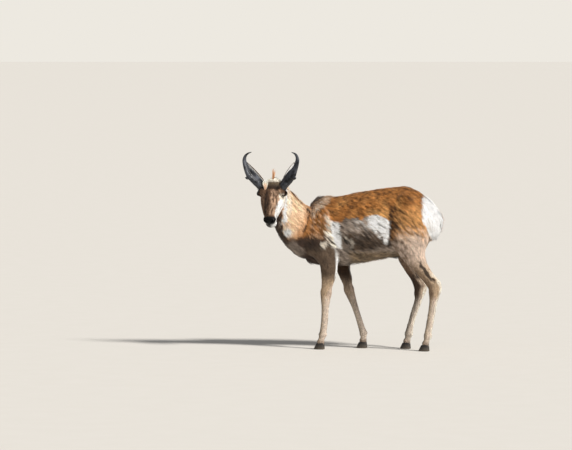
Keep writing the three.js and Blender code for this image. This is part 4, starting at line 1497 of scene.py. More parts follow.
@dataclass
class TuftField:
    """Many tufts at once: where each is rooted, how it lies, its sizes in mm and its colour."""

    roots: Array
    normals: Array
    lies: Array
    length: Array
    width: Array
    lift: Array
    sway: Array
    colours: Array
    flat: Array
    bends: int = 1
    sink: float = 1.5
    body: float = 0.16
    patch: float = 0.003
    droop: float = 0.0
    # painted shade at the root and painted highlight at the tip
    root_shade: float = 0.6
    tip_highlight: float = 1.16

    def chosen(self, mask: NDArray[np.bool_]) -> "TuftField":
        """The tufts for which the mask is true."""
        values = {entry.name: getattr(self, entry.name) for entry in fields(self)}
        picked = {name: value[mask] for name, value in values.items() if isinstance(value, np.ndarray)}
        return replace(self, **picked)

    def triangles(self) -> int:
        """How many triangles the tufts make."""
        return len(self.roots) * (6 * self.bends + 4)

    def mesh(self) -> MeshData:
        """Builds every tuft as a closed, flat, tapered blade.

        At s from root 0 to tip 1 the blade's middle is root + lie L s + across sway s^2
        + normal (lift sin(0.8 pi s) - sink (1 - s)^2), lowered by droop s^2. Its section is a
        triangle: two edges and a low ridge, all narrowing as (1 - s)^0.7 from the widest place
        a quarter of the way up.

        Returns:
            The mesh of all tufts.
        """
        count = len(self.roots)
        across = unit(np.cross(self.lies, self.normals))
        levels = np.linspace(0, 1, self.bends + 2)
        points, colours, flats, normals = [], [], [], []
        for s in levels[:-1]:
            taper = min(1.0, 0.55 + 1.8 * s) * (1 - s) ** 0.7
            middle = self.middle(s, across)
            for side in (-1.0, 0.0, 1.0):
                ridge = (1 - abs(side)) * self.body * self.width * taper
                place = middle + across * (side * self.width * taper / 2)[:, None]
                points.append(place + self.normals * ridge[:, None])
                normals.append(unit(self.normals + 0.35 * side * across))
                colours.append(self.colours * self.shade(s))
                flats.append(self.flat + self.patch * np.array([side / 2, s - 0.5 + 0.1 * (1 - abs(side))]))
        points.append(self.middle(1.0, across))
        normals.append(self.normals)
        colours.append(self.colours * self.shade(1.0))
        flats.append(self.flat + self.patch * np.array([0.1, 0.5]))
        size = 3 * (self.bends + 1) + 1
        base = np.arange(count)[:, None] * size
        quads = [
            [3 * ring + a, 3 * ring + b, 3 * ring + 3 + b, 3 * ring + 3 + a]
            for ring in range(self.bends) for a, b in ((0, 1), (1, 2), (2, 0))
        ]
        top = 3 * self.bends
        tris = [[top + a, top + b, size - 1] for a, b in ((0, 1), (1, 2), (2, 0))] + [[2, 1, 0]]
        faces = [
            (base[:, :, None] + np.array(group)[None]).reshape(-1, len(group[0]))
            for group in (quads, tris)
        ]
        places, colour, flat, normal = (
            np.stack(rows, axis=1).reshape(count * size, -1) for rows in (points, colours, flats, normals)
        )
        if self.turned_in(places[:size], [np.array(quads), np.array(tris)]):
            faces = [group[:, ::-1] for group in faces]
        return MeshData(places, faces, np.clip(colour, 0, 1), {"OFBake": flat}, normal)

    def middle(self, s: float, across: Array) -> Array:
        """The blade's middle at a share of its length, by the formula of mesh()."""
        rise = self.lift * math.sin(0.8 * math.pi * s) - self.sink * (1 - s) ** 2
        place = self.roots + self.lies * (self.length * s)[:, None] + self.normals * rise[:, None]
        return place + across * (self.sway * s * s)[:, None] + np.array([0, 0, -self.droop * s * s])

    def shade(self, s: float) -> float:
        """Darker at the root and lighter at the tip: painted shade between the hairs and a painted highlight
        on the tips.
        """
        return self.root_shade + (self.tip_highlight - self.root_shade) * min(1.0, s * 1.6)

    @staticmethod
    def turned_in(places: Array, faces: list[Index]) -> bool:
        """Tells whether one blade's faces point inwards, so that all need turning."""
        volume = 0.0
        middle = places.mean(0)
        for group in faces:
            corners = places[group] - middle
            for k in range(1, group.shape[1] - 1):
                volume += (corners[:, 0] * np.cross(corners[:, k], corners[:, k + 1])).sum()
        return volume < 0


@dataclass
class Coat:
    """Short and medium hair over the whole skin, in pieces."""

    body: Body
    skin: Surface
    seed: int = 20611
    piece_limit: int = 190000
    sizes: tuple[float, float] = (0.75, 1.25)
    stray: float = 0.12
    sway: float = 0.12
    clump_mm: float = 13
    clump_lift: float = 0.9
    clump_shade: float = 0.22
    colour_spread: float = 0.13

    def pieces(self, material: bpy.types.Material) -> None:
        """Grows the coat and builds its pieces."""
        rng = np.random.default_rng(self.seed)
        survey = self.body.survey(self.skin.points)
        growth = survey.blended("growth", GROWTH_BLEND)
        roots, normals = self.skin.scatter(growth[:, 0], rng)
        tufts, near = self.grown(roots, normals, rng)
        names = [part.name for part in self.body.parts]
        groups = {name: [names.index(name)] for name in ("torso", "neck", "head", "tail")}
        groups["legs_fore"] = [names.index("leg_fore_left"), names.index("leg_fore_right")]
        groups["legs_hind"] = [names.index("leg_hind_left"), names.index("leg_hind_right")]
        for title, members in groups.items():
            chosen = tufts.chosen(np.isin(near, members))
            share = max(1, math.ceil(chosen.triangles() / self.piece_limit))
            cut = np.quantile(chosen.roots[:, 0], np.linspace(0, 1, share + 1))
            for number in range(share):
                x = chosen.roots[:, 0]
                inside = (x >= cut[number]) & ((x < cut[number + 1]) | (number == share - 1))
                suffix = f"_{number + 1}" if share > 1 else ""
                chosen.chosen(inside).mesh().build(f"coat_{title}{suffix}", material, "coat")

    def grown(self, roots: Array, normals: Array, rng: np.random.Generator) -> tuple[TuftField, Index]:
        """Gives every root its lie, sizes, and the colour that belongs half way along the tuft."""
        survey = self.body.survey(roots)
        growth = survey.blended("growth", GROWTH_BLEND)
        lies = survey.blended("lie", LIE_BLEND) + self.stray * rng.standard_normal(roots.shape)
        lies = unit(lies - normals * (lies * normals).sum(1)[:, None])
        vary = rng.uniform(*self.sizes, (3, len(roots)))
        drawn = roots - np.outer(roots @ [0.7, 0, -0.7], [0.5, 0, -0.5])
        wave = noise(drawn, self.clump_mm, 66)
        vary[2] *= 1 + self.clump_lift * np.maximum(wave, -0.6)
        seen = self.body.survey(roots + lies * growth[:, 1:2] / 2)
        # painted light and shade: raised clumps are lightened and the low gaps between them darkened
        spread = 1 + self.clump_shade * wave + self.colour_spread * rng.standard_normal(len(roots))
        colours = seen.blended("colour", COLOUR_BLEND) * spread[:, None]
        tufts = TuftField(
            roots, normals, lies,
            growth[:, 1] * vary[0], growth[:, 2] * vary[1], growth[:, 3] * vary[2],
            self.sway * growth[:, 1] * rng.standard_normal(len(roots)),
            np.clip(colours, 0.001, 1), survey.unwrap(),
        )
        return tufts, survey.nearest()


@dataclass
class LongHair:
    """Longer hair in one region, rooted among the short coat and drawn as bent, tapered locks.

    The rate is in locks to a square centimetre and sizes are in mm. Pull is added to the coat's
    lie, loose turns whole clumps, flatten is the share of the lie's rise that is taken out, and
    sway is a share of the length.
    """

    name: str
    rate: float
    length: float
    width: float
    lift: float
    pull: tuple[float, float, float] = (0.0, 0.0, 0.0)
    droop: float = 0.0
    loose: float = 0.35
    flatten: float = 0.85
    sway: float = 0.16
    sizes: tuple[float, float] = (0.7, 1.3)
    stray: float = 0.1
    clump_mm: float = 24
    colour_spread: float = 0.12

    def share(self, points: Array, skull: Array) -> Array:
        """How much of the full rate grows at each place.

        Args:
            points: Places in the animal's frame.
            skull: The same places in the head's axes.

        Returns:
            A share from 0 to 1.
        """
        return np.zeros(len(points))

    def colour(self, points: Array, coat: Array) -> Array:
        """The locks' linear colour, from the short coat's."""
        return coat

    def build(self, body: Body, skin: Surface, material: bpy.types.Material, seed: int) -> None:
        """Grows the hair and builds its piece.

        Args:
            body: The parts, for the lie and colour of the coat.
            skin: The surface it is rooted in.
            material: The hair's finish.
            seed: Picks the draws.
        """
        rng = np.random.default_rng(seed)
        share = self.share(skin.points, HEAD.inward(skin.points))
        roots, normals = skin.scatter(self.rate * share, rng)
        survey = body.survey(roots)
        clump = np.column_stack([noise(roots, self.clump_mm, seed + k) for k in range(3)])
        lies = survey.blended("lie", LIE_BLEND) + np.array(self.pull) + self.loose * clump
        lies = unit(lies + self.stray * rng.standard_normal(roots.shape))
        lies = unit(lies - self.flatten * normals * (lies * normals).sum(1)[:, None])
        vary = rng.uniform(*self.sizes, (3, len(roots)))
        hue = self.colour(roots, survey.blended("colour", COLOUR_BLEND))
        hue = hue * (1 + self.colour_spread * rng.standard_normal(len(roots)))[:, None]
        TuftField(
            roots, normals, lies, self.length * vary[0], self.width * vary[1], self.lift * vary[2],
            self.sway * self.length * rng.standard_normal(len(roots)), np.clip(hue, 0.001, 1),
            survey.unwrap(), bends=2, droop=self.droop,
        ).mesh().build(f"locks_{self.name}", material, "coat")


class Mane(LongHair):
    """Upright nape hair, from the poll down to the withers."""

    def share(self, points: Array, skull: Array) -> Array:
        """A strip along the nape, widest at the shoulder."""
        spot = NECK.spot(points)
        turn = np.abs((spot.angle() - math.pi / 2 + math.pi) % (2 * math.pi) - math.pi)
        return step(turn, 0.62, 0.3) * window(spot.way, 0.24, 0.9, 0.06) * (spot.distance < 12)


class Withers(LongHair):
    """Loose winter hair that hangs on over the withers, in grey-tan and near black clumps."""

    def share(self, points: Array, skull: Array) -> Array:
        """A saddle-shaped area behind the neck, down both shoulders."""
        x, y, z = points.T
        area = patch(x + 12 * noise(points, 20, 71), np.abs(y), [
            (-410, -40), (-404, 90), (-345, 104), (-300, 90), (-284, 50), (-284, -40),
        ], 20)
        return area * step(z, 748, 784)

    def colour(self, points: Array, coat: Array) -> Array:
        """Grey-tan, with clumps near black and a few cream ones."""
        x, _, z = points.T
        tips = ((-362, 864, 36, 18), (-388, 816, 22, 18))
        spots = nearest_spot(x, z, tips) * step(noise(points, 9, 74), -0.5, 0)
        dark = np.maximum(spots, step(noise(points, 14, 72), 0.3, 0.42))
        pale = step(noise(points, 15, 73), 0.3, 0.45)
        hue = mix(mix(coat, tint("moult"), 0.7), tint("cream"), 0.5 * pale)
        return mix(hue, tint("clump"), 0.92 * dark)


class RumpHair(LongHair):
    """The long white hair of the rump patch."""

    def share(self, points: Array, skull: Array) -> Array:
        """All of the white patch."""
        return TRUNK.rump_patch(points) * step(points[:, 2], 650, 700)


class Fringe(LongHair):
    """Hair that hangs along the brisket, the belly and the sheath."""

    def share(self, points: Array, skull: Array) -> Array:
        """A strip along the middle of the underside, densest at the brisket and the sheath."""
        x, y, z = points.T
        strip = window(x, -424, 150, 20) * step(np.abs(y), 60, 26) * step(z, 600, 570)
        return strip * (0.35 + 0.65 * np.maximum(step(x, -300, -360), window(x, 70, 136, 16)))


class Crown(LongHair):
    """Pale hair along the crown between the horns."""

    def share(self, points: Array, skull: Array) -> Array:
        """A narrow strip over the top of the head."""
        along, side, out = skull.T
        return window(along, 14, 44, 8) * step(np.abs(side - 6), 56, 16) * step(out, -6, 6)

    def colour(self, points: Array, coat: Array) -> Array:
        """Cream."""
        return mix(coat, tint("cream"), 0.85)


class Crest(LongHair):
    """The one tall orange tuft that stands on the crown."""

    def share(self, points: Array, skull: Array) -> Array:
        """A spot just beside the middle of the crown."""
        along, side, out = skull.T
        return step(np.hypot(along - 34, side - 2), 7, 2) * step(out, 4, 14)

    def colour(self, points: Array, coat: Array) -> Array:
        """Orange."""
        return mix(coat, tint("jaw"), 0.9)


class HornTuft(LongHair):
    """A pale tuft at the inner foot of the animal's right horn."""

    def share(self, points: Array, skull: Array) -> Array:
        """A spot on the brow."""
        along, side, out = skull.T
        return step(np.hypot((along - 82) / 1.9, side + 35), 12, 8) * step(out, 8, 18)

    def colour(self, points: Array, coat: Array) -> Array:
        """Cream above, orange below."""
        level = 0.25 + 0.75 * step(HEAD.inward(points)[:, 0], 104, 84)
        return mix(tint("jaw"), tint("cream"), level)


# Finishes


def node(
    tree: bpy.types.NodeTree, kind: str, settings: dict | None = None, links: dict | None = None,
) -> bpy.types.Node:
    """Adds a node with its settings and links.

    Args:
        tree: The material's node tree.
        kind: The node's type, without the words that all types start with.
        settings: Properties by name, and input values by socket name or number.
        links: What feeds each input: a node, or a node and the name of its output.

    Returns:
        The new node.
    """
    made = tree.nodes.new(f"ShaderNode{kind}")
    for key, value in (settings or {}).items():
        if isinstance(key, int) or key in made.inputs:
            made.inputs[key].default_value = value
        else:
            setattr(made, key, value)
    for key, source in (links or {}).items():
        giver, output = source if isinstance(source, tuple) else (source, 0)
        tree.links.new(giver.outputs[output], made.inputs[key])
    return made


@dataclass(frozen=True)
class Finish:
    """A named surface finish; each kind adds its own nodes."""

    name: str

    def material(self) -> bpy.types.Material:
        """The finish as a new material."""
        made = bpy.data.materials.new(self.name)
        made.use_nodes = True
        made.node_tree.nodes.clear()
        node(made.node_tree, "OutputMaterial", links={"Surface": self.shader(made.node_tree)})
        return made

    def shader(self, tree: bpy.types.NodeTree) -> bpy.types.Node:
        """The finish's surface shader, with the nodes that feed it."""
        return node(tree, "BsdfPrincipled")


@dataclass(frozen=True)
class HairFinish(Finish):
    """Pronghorn guard hair: coarse, hollow and air-filled, grown and weathered by a winter.

    The eye sees a matte coat with a faint sheen, streaked along the lie, root shades in the gaps.
    """

    name: str = "Pronghorn hair"
    streak_mm: float = 3.0
    slant: float = math.radians(18)
    roughness: float = 0.72
    sheen: float = 0.12

    def shader(self, tree: bpy.types.NodeTree) -> bpy.types.Node:
        """The coat's shader: its painted colour with fine streaks and a soft bump."""
        painted = node(tree, "Attribute", {"attribute_name": "CoatColour"})
        place = node(tree, "TexCoord")
        turned = node(tree, "Mapping", {
            "Scale": (0.35, 1.0, 1.0), "Rotation": (0, self.slant, 0),
        }, {"Vector": (place, "Object")})
        scale = MM_PER_M / self.streak_mm / 2
        streaks = node(tree, "TexNoise", {"Scale": scale, "Detail": 3.0}, {"Vector": turned})
        shade = node(tree, "MapRange", {
            "From Min": 0.3, "From Max": 0.7, "To Min": 0.82, "To Max": 1.14,
        }, {"Value": (streaks, "Fac")})
        colour = node(tree, "VectorMath", {"operation": "SCALE"}, {0: (painted, "Color"), "Scale": shade})
        bump = node(tree, "Bump", {"Strength": 0.35, "Distance": 0.0015}, {"Height": (streaks, "Fac")})
        return node(tree, "BsdfPrincipled", {
            "Roughness": self.roughness, "Specular IOR Level": 0.28, "Sheen Weight": self.sheen,
            "Sheen Roughness": 0.5,
        }, {"Base Color": colour, "Normal": bump})


@dataclass(frozen=True)
class SkinFinish(Finish):
    """The hide under the hair, with the bare black nose: the same markings, glossier where no hair grows.

    The eye sees short flat fur as a fine grain, and a damp, pebbled nose pad.
    """

    name: str = "Pronghorn hide"
    grain_mm: float = 2.2
    pebble_mm: float = 2.6

    def shader(self, tree: bpy.types.NodeTree) -> bpy.types.Node:
        """The skin's shader."""
        painted = node(tree, "Attribute", {"attribute_name": "CoatColour"})
        bare = node(tree, "Attribute", {"attribute_name": "Bare"})
        place = node(tree, "TexCoord")
        where = {"Vector": (place, "Object")}
        grain = node(tree, "TexNoise", {"Scale": MM_PER_M / self.grain_mm / 2, "Detail": 4.0}, where)
        pebbles = node(tree, "TexVoronoi", {"Scale": MM_PER_M / self.pebble_mm}, where)
        height = node(tree, "Mix", {"data_type": "FLOAT"}, {
            0: (bare, "Fac"), 2: (grain, "Fac"), 3: (pebbles, "Distance"),
        })
        shade = node(tree, "MapRange", {
            "From Min": 0.3, "From Max": 0.7, "To Min": 0.7, "To Max": 1.05,
        }, {"Value": (grain, "Fac")})
        colour = node(tree, "VectorMath", {"operation": "SCALE"}, {0: (painted, "Color"), "Scale": shade})
        rough = node(tree, "MapRange", {"To Min": 0.8, "To Max": 0.34}, {"Value": (bare, "Fac")})
        bump = node(tree, "Bump", {"Strength": 0.5, "Distance": 0.0012}, {"Height": height})
        return node(tree, "BsdfPrincipled", {"Specular IOR Level": 0.16}, {
            "Base Color": colour, "Roughness": rough, "Normal": bump,
        })


@dataclass(frozen=True)
class HornFinish(Finish):
    """Keratin horn sheath, grown in layers and rubbed smooth on brush.

    The eye sees near black with long fine ridges, a satin gloss and greyer patches that are partly worn edges
    and partly painted sheen.
    """

    name: str = "Black horn keratin"
    dark: str = "#0c0b0d"
    # blue-grey: worn keratin, and partly painted sheen
    worn: str = "#868a95"
    ridges: tuple[float, float, float] = (46.0, 3.0, 1.0)

    def shader(self, tree: bpy.types.NodeTree) -> bpy.types.Node:
        """The horn's shader."""
        flow = node(tree, "UVMap", {"uv_map": "Flow"})
        long = node(tree, "Mapping", {"Scale": self.ridges}, {"Vector": flow})
        ridges = node(tree, "TexNoise", {"Scale": 1.0, "Detail": 4.0, "Roughness": 0.6}, {"Vector": long})
        place = node(tree, "TexCoord")
        patches = node(tree, "TexNoise", {"Scale": 30.0, "Detail": 3.0}, {"Vector": (place, "Object")})
        worn = node(tree, "MapRange", {"From Min": 0.38, "From Max": 0.66}, {"Value": (patches, "Fac")})
        ridge = node(tree, "MapRange", {"From Min": 0.4, "From Max": 0.75}, {"Value": (ridges, "Fac")})
        share = node(tree, "Math", {"operation": "MULTIPLY"}, {0: worn, 1: ridge})
        colour = node(tree, "Mix", {
            "data_type": "RGBA", 6: (*linear(self.dark), 1), 7: (*linear(self.worn), 1),
        }, {0: share})
        rough = node(tree, "MapRange", {"To Min": 0.24, "To Max": 0.42}, {"Value": (patches, "Fac")})
        bump = node(tree, "Bump", {"Strength": 0.6, "Distance": 0.0012}, {"Height": (ridges, "Fac")})
        return node(tree, "BsdfPrincipled", {"IOR": 1.4}, {
            "Base Color": (colour, 2), "Roughness": rough, "Normal": bump,
        })


@dataclass(frozen=True)
class HoofFinish(Finish):
    """Hoof keratin, grown in rings and worn by dry ground: black-brown with pale dust towards the sole."""

    name: str = "Hoof keratin"
    dark: str = "#1d1916"
    dust: str = "#6f6455"
    ring_mm: float = 3.5

    def shader(self, tree: bpy.types.NodeTree) -> bpy.types.Node:
        """The hoof's shader."""
        place = node(tree, "TexCoord")
        axes = node(tree, "SeparateXYZ", links={0: (place, "Object")})
        low = node(tree, "MapRange", {"From Min": 0.03, "From Max": 0.0}, {"Value": (axes, 2)})
        patches = node(tree, "TexNoise", {"Scale": 90.0, "Detail": 4.0}, {"Vector": (place, "Object")})
        dusty = node(tree, "Math", {"operation": "MULTIPLY"}, {0: low, 1: (patches, "Fac")})
        colour = node(tree, "Mix", {
            "data_type": "RGBA", 6: (*linear(self.dark), 1), 7: (*linear(self.dust), 1),
        }, {0: dusty})
        rings = node(tree, "TexWave", {
            "bands_direction": "Z", "Scale": MM_PER_M / self.ring_mm / 20, "Distortion": 2.0, "Detail": 2.0,
        }, {"Vector": (place, "Object")})
        bump = node(tree, "Bump", {"Strength": 0.4, "Distance": 0.0008}, {"Height": (rings, "Fac")})
        return node(tree, "BsdfPrincipled", {"Roughness": 0.52, "IOR": 1.54}, {
            "Base Color": (colour, 2), "Normal": bump,
        })


@dataclass(frozen=True)
class FloorFinish(Finish):
    """Matte painted studio floor, a plain warm grey with the faintest cloudiness."""

    name: str = "Matte studio floor"
    tones: tuple[str, str] = ("#dcd8d0", "#e0dcd5")

    def shader(self, tree: bpy.types.NodeTree) -> bpy.types.Node:
        """The floor's shader."""
        place = node(tree, "TexCoord")
        grain = node(tree, "TexNoise", {"Scale": 6.0, "Detail": 3.0}, {"Vector": (place, "Object")})
        colour = node(tree, "Mix", {
            "data_type": "RGBA", 6: (*linear(self.tones[0]), 1), 7: (*linear(self.tones[1]), 1),
        }, {0: (grain, "Fac")})
        return node(tree, "BsdfPrincipled", {"Roughness": 0.9, "Specular IOR Level": 0.1}, {
            "Base Color": (colour, 2),
        })


@dataclass(frozen=True)
class EyeFinish(Finish):
    """A wet living eye: near black iris under a clear cornea.

    The eye sees one deep gloss with a small highlight.
    """

    name: str = "Wet eye"

    def shader(self, tree: bpy.types.NodeTree) -> bpy.types.Node:
        """The eye's shader, coloured by the painted iris."""
        painted = node(tree, "Attribute", {"attribute_name": "CoatColour"})
        return node(tree, "BsdfPrincipled", {
            "Roughness": 0.06, "IOR": 1.12,
        }, {"Base Color": (painted, "Color")})


# Horns, eyes, ears and hooves

EAR_SPREAD = {Side.LEFT: 118, Side.RIGHT: 168}
EAR_ISLAND_LEFT = {Side.LEFT: 0.83, Side.RIGHT: 0.91}


@dataclass
class Horn:
    """A flat black blade that leans forward and out, throws a prong forward and hooks in at the tip."""

    side: Side
    around: int = 72
    along: int = 150
    prong_around: int = 40
    prong_along: int = 50
    ripples: int = 11
    ripple: float = 0.9
    knob: float = 1.8
    right_prong_reach: float = 0.78

    def lofts(self) -> tuple[Loft, Loft]:
        """The blade's and the prong's lofts, from distances to the left, height and forward of the eyes."""
        blade = [
            (50, 926, -8, 14, 22), (62, 948, -2, 19, 29), (80, 971, 6, 19, 32), (103, 997, 16, 18, 35),
            (125, 1023, 25, 16, 33), (141, 1050, 31, 13, 22), (152, 1078, 31, 11, 16),
            (157, 1104, 29, 9, 13), (152, 1126, 24, 7, 10), (138, 1141, 18, 5, 7), (118, 1149, 12, 1.5, 2),
        ]
        prong = [
            (106, 1004, 12, 10, 14), (121, 1005, 26, 11, 17), (135, 1003, 42, 10, 14),
            (148, 1001, 55, 7, 9), (158, 1003, 64, 1.5, 2),
        ]
        sign = self.side.value
        eye = HEAD.middle
        reach = 1.0 if self.side is Side.LEFT else self.right_prong_reach
        prong = [(106 + (s - 106) * reach, z, 12 + (f - 12) * reach, t, w) for s, z, f, t, w in prong]
        flat = (0.95, -0.8, -0.3) if self.side is Side.LEFT else (-0.45, -1, -0.35)

        def rows(stations: list[tuple], reference: tuple[float, float, float]) -> Array:
            """Stations in the animal's frame with their reference direction."""
            return np.array([
                [eye[0] + sign * s, eye[1] - f, z, thick, wide, wide, *reference]
                for s, z, f, thick, wide in stations
            ], float)

        return Loft(rows(blade, flat), samples=200), Loft(rows(prong, (0, 0, 1)), samples=60)

    def build(self, material: bpy.types.Material) -> None:
        """Builds the sheath: a loft with lengthwise ripples, and knobs near its base."""
        blade, prong = self.lofts()

        def rippled(loft: Loft, strength: float) -> Callable[[Array, Array], Array]:
            """The loft's skin moved out: ripple sin(11 angle + wander) / 2, and knobs by noise."""
            def place(angle: Array, way: Array) -> Array:
                """The moved skin at each angle and way."""
                skin = loft.surface(angle, way)
                middle = loft.at(way)[:, :3]
                out = unit(skin - middle)
                fade = np.sin(math.pi * np.clip(way, 0, 1)) ** 0.4
                wander = 2 * noise(skin, 45, 51)
                bump = self.ripple * strength * np.sin(self.ripples * angle + wander) * 0.5
                bump += self.knob * strength * np.maximum(noise(skin, 13, 52), 0) * step(way, 0.55, 0.15)
                return skin + out * ((bump - 0.5 * self.ripple) * fade)[:, None]
            return place

        grids = ((self.around, self.along), (self.prong_around, self.prong_along))
        point = closed_grid(*grids[1], rippled(prong, 0.6))
        whole = closed_grid(*grids[0], rippled(blade, 1.0)).joined(point)
        flow = []
        for around, along in grids:
            round_it, up_it = np.linspace(0, 1, around, endpoint=False), np.linspace(0, 1, along + 1)[1:-1]
            turn, way = np.meshgrid(round_it, up_it)
            fold = 1 - np.abs(2 * turn - 1)
            flow.append(np.column_stack([fold.ravel(), way.ravel()]))
            flow.append(np.array([[0.5, 0.0], [0.5, 1.0]]))
        whole.maps["Flow"] = np.vstack(flow)
        whole.build(f"horn_sheath_{self.side.word}", material, "horn", (f"horn_{self.side.word}",))


@dataclass
class Eye:
    """An eyeball with a horizontal pupil, and the lids and lashes round it."""

    side: Side
    radius: float = 18.6
    station: tuple[float, float, float] = (105.0, 69.0, 15.0)
    axis: tuple[float, float, float] = (0.80, -0.56, 0.20)
    iris: str = "#2a1a10"
    pupil: str = "#030303"
    dark: str = "#15100d"
    cornea_mm: float = 1.1
    half_long: float = math.radians(58)
    half_up: float = math.radians(38)
    half_down: float = math.radians(30)
    lid_spread: float = math.radians(42)
    lash_count: int = 44
    lash_length: tuple[float, float] = (9, 14)

    def centre(self) -> Array:
        """The eyeball's middle."""
        along, across, out = self.station
        return HEAD.outward([(along, self.side.value * across, out)])[0]

    def axes(self) -> Array:
        """Rows: out of the eye, towards the inner corner, and up over the lid."""
        out = unit(np.array([self.side.value * self.axis[0], self.axis[1], self.axis[2]]))
        along, _, brow = HEAD.axes()
        corner = along * math.cos(math.radians(28)) + brow * math.sin(math.radians(28))
        corner = unit(corner - out * (corner @ out))
        up = np.cross(corner, out) * self.side.value
        return np.array([out, corner, up])

    def eyeball(self, material: bpy.types.Material) -> None:
        """Builds the eyeball: a sphere with a low cornea, painted with iris, pupil and dark white."""
        out, corner, up = self.axes()
        iris, pupil, dark = linear(self.iris), linear(self.pupil), linear(self.dark)

        def place(angle: Array, way: Array) -> Array:
            """A sphere whose pole faces out, raised over the cornea."""
            polar = math.pi * way
            rise = self.radius + self.cornea_mm * step(polar, 0.75, 0.2)
            ring = np.cos(angle)[:, None] * corner + np.sin(angle)[:, None] * up
            ray = np.cos(polar)[:, None] * out + np.sin(polar)[:, None] * ring
            return self.centre() + ray * rise[:, None]

        mesh = closed_grid(64, 48, place)
        ray = unit(mesh.points - self.centre())
        level = np.arccos(np.clip(ray @ out, -1, 1))
        slit = np.hypot((ray @ corner) / 0.42, (ray @ up) / 0.2)
        mesh.colours = mix(mix(dark, iris, step(level, 0.86, 0.78)), pupil, step(slit, 1.1, 0.9))
        mesh.build(f"eyeball_{self.side.word}", material, "eye", (f"eye_{self.side.word}",))

    def opening(self, angle: Array) -> Array:
        """The lid edge's polar angle round the eye: a rounded almond, |c/A|^1.5 + |s/B|^1.5 = 1."""
        across, rise = np.cos(angle), np.sin(angle)
        half = np.where(rise > 0, self.half_up, self.half_down)
        return ((np.abs(across) / self.half_long) ** 1.5 + (np.abs(rise) / half) ** 1.5) ** (-1 / 1.5)

    def lid_point(self, angle: Array, share: Array) -> Array:
        """The lids from their wet edge, share 0, over the fold to under the skin, share 1.

        The polar angle grows from the opening by the lids' spread, and the height over the
        eyeball rises to 3.4 mm, dips by a fold at a third, and falls below the skin.
        """
        out, corner, up = self.axes()
        polar = self.opening(angle) + self.lid_spread * share ** 1.2
        height = 0.1 + 3.3 * step(share, 0.0, 0.14) - 0.9 * window(share, 0.3, 0.42, 0.16)
        height = height - 7.0 * step(share, 0.45, 1.0)
        ring = np.cos(angle)[:, None] * corner + np.sin(angle)[:, None] * up
        ray = np.cos(polar)[:, None] * out + np.sin(polar)[:, None] * ring
        return self.centre() + ray * (self.radius + height)[:, None]

    def lids(self) -> MeshData:
        """Both lids as one ring of skin, closed behind by an inner sheet on the eyeball."""
        around, steps = 72, 18
        angle = np.linspace(0, 2 * math.pi, around, endpoint=False)
        front = np.linspace(0, 1, steps)
        turn, share = np.meshgrid(angle, front)
        outer = self.lid_point(turn.ravel(), share.ravel())
        back = self.lid_point(angle, np.ones(around)) - self.axes()[0] * 3
        edge = self.lid_point(angle, np.zeros(around)) - self.axes()[0] * 1.5
        points = np.vstack([outer, back, edge])
        rows = steps + 2
        level = np.arange(rows)[:, None] * around
        beyond = (np.arange(1, rows + 1) % rows)[:, None] * around
        mesh = outward(MeshData(points, [band(level, beyond, around)]))
        rim = np.concatenate([step(share.ravel(), 0.62, 0.3), np.ones(2 * around)])
        mesh.colours = mix(tint("face"), tint("black"), rim)
        wet = np.concatenate([step(share.ravel(), 0.2, 0.05), np.ones(2 * around)])
        mesh.values = {"Bare": wet}
        return mesh

    def lashes(self, rng: np.random.Generator) -> TuftField:
        """Lashes along the upper lid, curving out and down."""
        count = self.lash_count
        out, corner, up = self.axes()
        angle = rng.uniform(0.12 * math.pi, 0.88 * math.pi, count)
        roots = self.lid_point(angle, np.full(count, 0.1))
        lies = unit(out * 0.9 + up * 0.35 + 0.5 * np.cos(angle)[:, None] * corner)
        normals = unit(up - lies * (lies @ up)[:, None])
        flat = np.column_stack([np.full(count, 0.93), 0.7 + 0.03 * angle / math.pi])
        black = Paint("black", count).hue
        return TuftField(
            roots, normals, lies, rng.uniform(*self.lash_length, count), np.full(count, 1.0),
            np.full(count, 1.5), rng.uniform(-1, 1, count), black, flat, bends=2, droop=3.0,
        )


